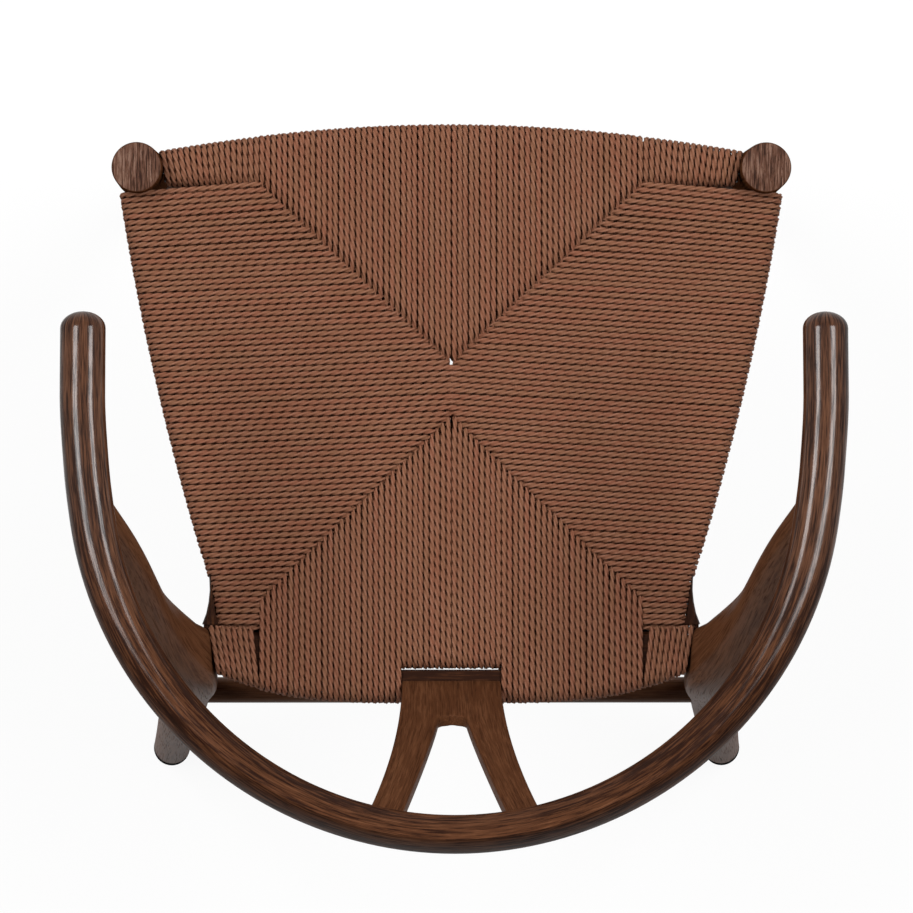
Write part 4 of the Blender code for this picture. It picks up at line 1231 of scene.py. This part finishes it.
def twist_into_mesh(strands, cord):
    """Mesh of the strands, each a lobed section turned as it runs, or a plain round one.

    Its cord attribute holds the strand's number, the length along it, and 1 on a ply or 0 in a groove,
    which places the painted highlight and shade. Its across attribute holds the level direction across the
    strands, for the painted shade on their flanks.
    """
    profile = ply_profile(cord, 0.0 if strands.plain else cord.groove)
    curve = bpy.data.curves.new(strands.name + "_route", "CURVE")
    curve.dimensions = "3D"
    curve.twist_mode = "MINIMUM"
    curve.bevel_mode = "OBJECT"
    curve.bevel_object = profile
    lies = []
    crown = ply_crowns()
    phase = 0.0
    for number, route in enumerate(strands.routes):
        places = np.array(route)
        along = np.concatenate(([0.0], np.cumsum(np.linalg.norm(np.diff(places, axis=0), axis=1))))
        phase += math.pi / CORD_PLIES + strands.chance.uniform(-PHASE_WANDER, PHASE_WANDER)
        turns = 0.0 * along if strands.plain else (along - along[-1] / 2) / cord.lay
        near_end = np.minimum(along, along[-1] - along)
        thin = np.interp(near_end - TUCK_TAIL, (0.0, END_THIN_LONG), (strands.thin, 1.0))
        spline = curve.splines.new("POLY")
        spline.points.add(len(places) - 1)
        spline.points.foreach_set("co", np.column_stack((places, np.ones(len(places)))).ravel())
        spline.points.foreach_set("tilt", phase - math.tau * turns)
        spline.points.foreach_set("radius", thin)
        crowns = np.tile(crown, len(places))
        numbers = np.full(len(crowns), float(number))
        lies.append(np.column_stack((numbers, np.repeat(along, len(crown)), crowns)))
    guide = bpy.data.objects.new(curve.name, curve)
    bpy.context.scene.collection.objects.link(guide)
    bpy.context.view_layer.update()
    depsgraph = bpy.context.evaluated_depsgraph_get()
    mesh = bpy.data.meshes.new_from_object(guide.evaluated_get(depsgraph))
    mesh.name = strands.name
    lie = np.concatenate(lies)
    if len(lie) != len(mesh.vertices):
        raise RuntimeError(f"{strands.name}: {len(mesh.vertices)} points, and {len(lie)} were expected")
    mesh.attributes.new("cord", "FLOAT_VECTOR", "POINT").data.foreach_set("vector", lie.ravel())
    across = np.tile(strands.across, len(lie))
    mesh.attributes.new("across", "FLOAT_VECTOR", "POINT").data.foreach_set("vector", across)
    close_ends(mesh)
    for helper in (guide, profile):
        data = helper.data
        bpy.data.objects.remove(helper)
        bpy.data.curves.remove(data)
    return mesh


def add_strands(strands, cord, *nodes):
    """Twist the strands into a piece that stands for its CAD nodes."""
    piece = add_mesh(strands.name, twist_into_mesh(strands, cord), paper_cord())
    return place_piece(piece, "cord", *nodes)


def side_slant(y):
    """Slope of the side strands: steep beside the front leg, and level at the heel."""
    slant = mix(FIRST_SIDE_SLANT, SIDE_SLANT, smooth((y - SIDE_RAIL_FRONT_Y) / FIRST_SLANT_LONG))
    return mix(LAST_SIDE_SLANT, slant, smooth((SIDE_RAIL_REAR_Y - y) / LAST_SLANT_LONG))


def slanted(edge, start_y):
    """Where a side strand ends, how long its tail is, and its y at a distance from the middle."""
    slant = side_slant(start_y)

    def y_at(u):
        return start_y - slant * (edge - u)

    tip = 0.0
    for attempt in range(TIP_TRIES):
        tip = side_tip(y_at(tip))
    if tip == 0.0:
        return -BRIDGE_OVERLAP, TUCK_TAIL, y_at
    clear = FRONT_APEX_HALF if y_at(tip) < WEAVE_FRONT_APEX_Y else BACK_APEX_HALF
    tip = max(tip, clear)
    return tip, min(TUCK_TAIL, tip - clear), y_at


def inside_strands(cord):
    """The hidden strands that run from rail to rail between the two layers of each panel.

    Two more on each side lie lower, along the side rail, where the straight ones stop.
    """
    half = cord.diameter / 2
    inside = Strands("cord_seat_inside", INSIDE_SEED, cord)
    inside.plain = True
    first_y = SIDE_RAIL_FRONT_Y - SIDE_START_PRESS
    first_strand = slanted(side_rail_outer(first_y), first_y)[2]
    for x in spread(INSIDE_CLEAR, side_bar_outer(first_y) - SIDE_RAIL_WIDE - half, cord.pitch):
        corner = min(x, WEAVE_HALF_WIDE)
        front = max(front_tip(corner), first_strand(x)) + half
        rows = steps(front, back_tip(corner) - half, INSIDE_STEPS)
        free = [y for y in rows if side_bar_outer(y) - SIDE_RAIL_WIDE > x + half]
        if free and free[-1] - front > INSIDE_CLEAR:
            for across in (x, -x):
                inside.routes.append([(across, front, RAIL_Z), (across, free[-1], RAIL_Z)])
    low = RAIL_Z - cord.diameter
    rows = steps(first_y + half, BACK_RAIL_FRONT_Y - half, BESIDE_STEPS)
    for off in (half, 3 * half):
        for side in (1, -1):
            beside = [(side * (side_bar_outer(y) - SIDE_RAIL_WIDE - off), y, low) for y in rows]
            inside.routes.append(beside)
    rows = spread(FRONT_RAIL_REAR_Y + half, WEAVE_FRONT_APEX_Y, cord.pitch)
    for y in rows + spread(WEAVE_BACK_APEX_Y, BACK_RAIL_FRONT_Y - half, cord.pitch):
        reach = side_tip(y) - half
        if reach > INSIDE_CLEAR:
            inside.routes.append([(-reach, y, RAIL_Z), (reach, y, RAIL_Z)])
    return inside


FRONT_END = (front_tip, 1, FRONT_HOLE, FRONT_SLIT)
BACK_END = (back_tip, -1, BACK_HOLE, BACK_SLIT)


def weave_along_y(panel, seed, cord, places, edge_of, radius, end):
    """Add a panel of strands that run from front to back, at places across the seat, round a rail's edge.

    end holds where the tips are, the way to them from the rail, and the hole and slit that part them.
    """
    tip_of, way, hole, slit = end
    strands = Strands("cord_seat_" + panel, seed, cord)
    strands.thin = END_THIN
    for x in places:
        tip = tip_of(x)
        route = hairpin(edge_of(x), tip, way, radius, cord, END_TUCK)
        strands.add_along_y(x, tip, hole, slit, route)
    add_strands(strands, cord, "seat_weave_" + panel)


class CHAIR_OT_seat(bpy.types.Operator):
    """Weave the seat: strands of twisted cord folded round the four rails"""
    bl_idname = "chair.seat"
    bl_label = "Woven Seat"

    def execute(self, context):
        cord = context.scene.chair_cord
        pitch = cord.pitch

        def slot_edge(x):
            return BACK_SLOT_FRONT_Y + SLOT_PRESS

        places = spread(-WEAVE_HALF_WIDE, WEAVE_HALF_WIDE, pitch)
        weave_along_y("front", FRONT_SEED, cord, places, front_rail_front, RAIL_EDGE_R, FRONT_END)
        places = spread(-BACK_SLOT_HALF, BACK_SLOT_HALF, pitch)
        weave_along_y("back_middle", MIDDLE_SEED, cord, places, slot_edge, SLOT_BEND_R, BACK_END)
        slot_front, slot_rear = heel_slot_ends()
        for label, side in SIDES:
            places = [side * x for x in spread(BACK_SLOT_HALF, WEAVE_HALF_WIDE, pitch)]
            seed = BACK_SEED + side
            weave_along_y("back_" + label, seed, cord, places, back_rail_rear, RAIL_EDGE_R, BACK_END)

            flank = Strands("cord_seat_" + label, FLANK_SEED + side, cord)
            flank.across = (0.0, 1.0, 0.0)
            for y in spread(SIDE_RAIL_FRONT_Y - SIDE_START_PRESS, slot_front, pitch):
                edge = side_rail_outer(y) - HEEL_EASE * smooth(1 + (y - slot_front) / HEEL_EASE_LONG)
                tip, tail, y_at = slanted(edge, y)
                route = hairpin(edge, tip, -1, RAIL_EDGE_R, cord, SIDE_TUCK, tail)
                flank.add_along_x(side, y_at, route)
            add_strands(flank, cord, "seat_weave_" + label)

            heel = Strands("cord_seat_heel_" + label, HEEL_SEED + side, cord)
            heel.across = (0.0, 1.0, 0.0)
            last_y = slot_rear + HEEL_EXTRA_LONG
            sunk_z = RAIL_TOP_Z + cord.diameter / 2 - LAST_STRAND_SINK
            for y in spread(slot_front, last_y, pitch):
                edge = heel_slot_inner(min(y, slot_rear)) + HEEL_PRESS
                tip, tail, y_at = slanted(edge, y)
                route = hairpin(edge, tip, -1, SLOT_BEND_R, cord, SIDE_TUCK, tail)
                if y > last_y - pitch:
                    route = [(u, min(v, sunk_z)) for u, v in route]
                heel.add_along_x(side, y_at, route)
            add_strands(heel, cord, f"seat_weave_{label}_rear")

        panels = ["seat_weave_" + panel for panel in PANELS]
        add_strands(inside_strands(cord), cord, *panels)
        return {"FINISHED"}


def winding_point(front, rear, half, turned):
    """Place (y, z) on a loop round a rail; turned goes from 0, below the rail's rear edge, to 1."""
    reach = RAIL_EDGE_R + half
    flat = rear - front - 2 * RAIL_EDGE_R
    tall = RAIL_TOP_Z - RAIL_BOTTOM_Z - 2 * RAIL_EDGE_R
    quarter = reach * math.pi / 2
    left = turned * (2 * flat + 2 * tall + 4 * quarter)
    u, v = RAIL_EDGE_R, -half
    for heading, length in enumerate((flat, tall, flat, tall)):
        a = heading * math.pi / 2
        run = min(left, length)
        u, v = u + run * math.cos(a), v + run * math.sin(a)
        left -= run
        bend = min(left, quarter) / reach
        centre_u, centre_v = u - reach * math.sin(a), v + reach * math.cos(a)
        u, v = centre_u + reach * math.sin(a + bend), centre_v - reach * math.cos(a + bend)
        left -= bend * reach
        if left <= 0:
            break
    return rear - u, RAIL_BOTTOM_Z + v


def winding_route(side, first_x, last_x, edges_of, leans, half, pitch):
    """Cord wound along the bare end of a rail, from the leg to the first woven strand.

    A loop moves on by half a strand as it goes up the rail's front and by half as it goes down its
    rear. The first loop lies against the leg. leans holds how far the first and the last loop lean.
    """
    loops = round((first_x - last_x) / pitch) + 1
    count = loops * WINDING_POINTS
    advance = (first_x - last_x) / (loops - 1)
    route = []
    for i in range(count + 1):
        loop, turned = divmod(i / WINDING_POINTS, 1.0)
        share = i / count
        lean = mix(leans[0], leans[1], share)
        middle = mix(first_x, last_x, share)
        front, rear = edges_of(middle + lean / 2)[0], edges_of(middle - lean / 2)[1]
        y, z = winding_point(front, rear, half, turned)
        across = min(1.0, max(0.0, (y - front) / (rear - front)))
        level = smooth((z - RAIL_BOTTOM_Z) / (RAIL_TOP_Z - RAIL_BOTTOM_Z))
        moved = level / 2 if turned < 0.5 else 1 - level / 2
        x = first_x - advance * (loop + moved - 0.5) - lean * (across - 0.5)
        route.append((side * x, y, z))
    return route


class CHAIR_OT_windings(bpy.types.Operator):
    """Wind the cord round the bare ends of the front and back rails"""
    bl_idname = "chair.windings"
    bl_label = "Corner Windings"

    def execute(self, context):
        cord = context.scene.chair_cord
        half = cord.diameter / 2
        beside = WEAVE_HALF_WIDE + cord.pitch / 2

        def front_edges(x):
            return front_rail_front(x), FRONT_RAIL_REAR_Y

        def back_edges(x):
            return BACK_RAIL_FRONT_Y - BACK_WINDING_LOOSE, back_rail_rear(x)

        front_first = FRONT_LEG_X - FRONT_LEG_TOP_R - GAP - half
        back_first = BACK_RAIL_HALF_LONG + BACK_WINDING_OUT - half + BACK_WINDING_LEAN[0] / 2
        back_last = beside + BACK_WINDING_LEAN[1] / 2
        rails = (
            ("front", front_first, beside, front_edges, FRONT_WINDING_LEAN),
            ("back", back_first, back_last, back_edges, BACK_WINDING_LEAN),
        )
        for end, first_x, last_x, edges_of, leans in rails:
            for label, side in SIDES:
                coil = Strands(f"cord_winding_{end}_{label}", WINDING_SEED + side, cord)
                coil.routes.append(winding_route(side, first_x, last_x, edges_of, leans, half, cord.pitch))
                add_strands(coil, cord, f"{end}_{label}_winding")
        return {"FINISHED"}


# The stage

def white_for_view(start):
    """1 for rays that show the background to the camera, straight or through something clear.

    Reflected rays get a share, for the lacquer on the wood is thin.
    """
    path = start.tree.nodes.new("ShaderNodeLightPath")
    camera = Shade(start.tree, path.outputs["Is Camera Ray"])
    passed = Shade(start.tree, path.outputs["Is Transmission Ray"])
    reflected = Shade(start.tree, path.outputs["Is Glossy Ray"])
    return camera.maths("MINIMUM", camera + passed + reflected * REFLECTED_WHITE, 1.0)


def floor_material(stage):
    """Pale floor: white to the camera with a trace of the shadow, plain to the light, open from below."""
    material = bpy.data.materials.new("pale_floor")
    material.use_nodes = True
    tree = material.node_tree
    start = Shade(tree)
    tree.nodes.remove(tree.nodes["Principled BSDF"])
    view = white_for_view(start)
    pale = view.blend(rgba(stage.floor), (1, 1, 1, 1))
    plain = start.node("ShaderNodeBsdfDiffuse", {}, {"Color": pale})
    white = start.node("ShaderNodeEmission", {}, {"Color": (1, 1, 1, 1), "Strength": 1.0})
    clear = start.node("ShaderNodeBsdfTransparent")
    shown = start.node("ShaderNodeMixShader", {}, {0: view * FLOOR_WHITE, 1: plain, 2: white})
    under = start.node("ShaderNodeNewGeometry", output="Backfacing")
    both = start.node("ShaderNodeMixShader", {}, {0: under, 1: shown, 2: clear})
    tree.links.new(both.socket, tree.nodes["Material Output"].inputs["Surface"])
    return material


def light_world(stage):
    """White to the camera; to the object a room that is bright in front and dim overhead and behind."""
    world = bpy.data.worlds.new("soft_room")
    world.use_nodes = True
    tree = world.node_tree
    start = Shade(tree)
    background = tree.nodes["Background"]
    way = start.node("ShaderNodeTexCoord", output="Generated")
    rear = way.axis("Y")
    up = way.axis("Z")
    view = white_for_view(start)
    room = (1.0 - up.ease(0.05, 0.75) * 0.70) * (1.0 - rear.ease(-0.3, 0.6) * 0.6) * stage.fill
    strength = view + (1.0 - view) * room
    background.inputs["Color"].default_value = (1, 1, 1, 1)
    tree.links.new(strength.socket, background.inputs["Strength"])
    bpy.context.scene.world = world


def strip_lamp(name, angle, power):
    """Long soft lamp along the chair's depth, so many degrees from overhead, set towards the front."""
    lamp = bpy.data.lights.new(name, "AREA")
    lamp.shape = "RECTANGLE"
    lamp.size = LAMP_WIDE
    lamp.size_y = LAMP_LONG
    lamp.energy = power
    obj = bpy.data.objects.new(name, lamp)
    obj.location = (LAMP_FAR * math.sin(angle), LAMP_Y, RAIL_Z + LAMP_FAR * math.cos(angle))
    obj.rotation_euler = (0, angle, 0)
    obj.visible_camera = False
    bpy.context.scene.collection.objects.link(obj)


class CHAIR_OT_stage(bpy.types.Operator):
    """Set up the floor, the soft lamps and the camera above the seat"""
    bl_idname = "chair.stage"
    bl_label = "Stage"

    def execute(self, context):
        stage = context.scene.chair_stage
        bm = bmesh.new()
        bmesh.ops.create_grid(bm, x_segments=1, y_segments=1, size=FLOOR_HALF)
        mesh = bpy.data.meshes.new("floor")
        bm.to_mesh(mesh)
        bm.free()
        add_mesh("floor", mesh, floor_material(stage))
        light_world(stage)
        for name, side in (("lamp_left", 1), ("lamp_right", -1)):
            strip_lamp(name, side * stage.lamp_angle, stage.lamp_power)

        camera = bpy.data.cameras.new("camera")
        camera.sensor_fit = "HORIZONTAL"
        camera.angle = stage.view
        obj = bpy.data.objects.new("camera", camera)
        eye = Vector(stage.eye)
        back = (eye - Vector(stage.target)).normalized()
        right = Vector((0, -1, 0)).cross(back).normalized()
        turn = Matrix((right, back.cross(right), back)).transposed()
        obj.location = eye
        obj.rotation_euler = turn.to_euler()
        context.scene.collection.objects.link(obj)
        context.scene.camera = obj
        context.scene.view_settings.view_transform = "Standard"
        return {"FINISHED"}


class CHAIR_PT_pieces(bpy.types.Panel):
    """Lists the chair's pieces in the sidebar"""
    bl_idname = "CHAIR_PT_pieces"
    bl_label = "Chair"
    bl_space_type = "VIEW_3D"
    bl_region_type = "UI"
    bl_category = "Chair"

    def draw(self, context):
        for operator in OPERATORS:
            self.layout.operator(operator.bl_idname)
        for group in (context.scene.chair_wood, context.scene.chair_cord, context.scene.chair_stage):
            for name in group.__annotations__:
                self.layout.prop(group, name)


GROUPS = (("chair_wood", ChairWood), ("chair_cord", ChairCord), ("chair_stage", ChairStage))
OPERATORS = (
    CHAIR_OT_stage, CHAIR_OT_arm_bow, CHAIR_OT_legs, CHAIR_OT_splat, CHAIR_OT_rails,
    CHAIR_OT_seat, CHAIR_OT_windings,
)


def register():
    for name, group in GROUPS:
        bpy.utils.register_class(group)
        setattr(bpy.types.Scene, name, PointerProperty(type=group))
    for cls in (*OPERATORS, CHAIR_PT_pieces):
        bpy.utils.register_class(cls)


def unregister():
    for cls in (CHAIR_PT_pieces, *reversed(OPERATORS)):
        bpy.utils.unregister_class(cls)
    for name, group in reversed(GROUPS):
        delattr(bpy.types.Scene, name)
        bpy.utils.unregister_class(group)


def main():
    register()
    bpy.ops.chair.stage()
    bpy.ops.chair.arm_bow()
    bpy.ops.chair.legs()
    bpy.ops.chair.splat()
    bpy.ops.chair.rails()
    bpy.ops.chair.seat()
    bpy.ops.chair.windings()


if __name__ == "__main__":
    main()
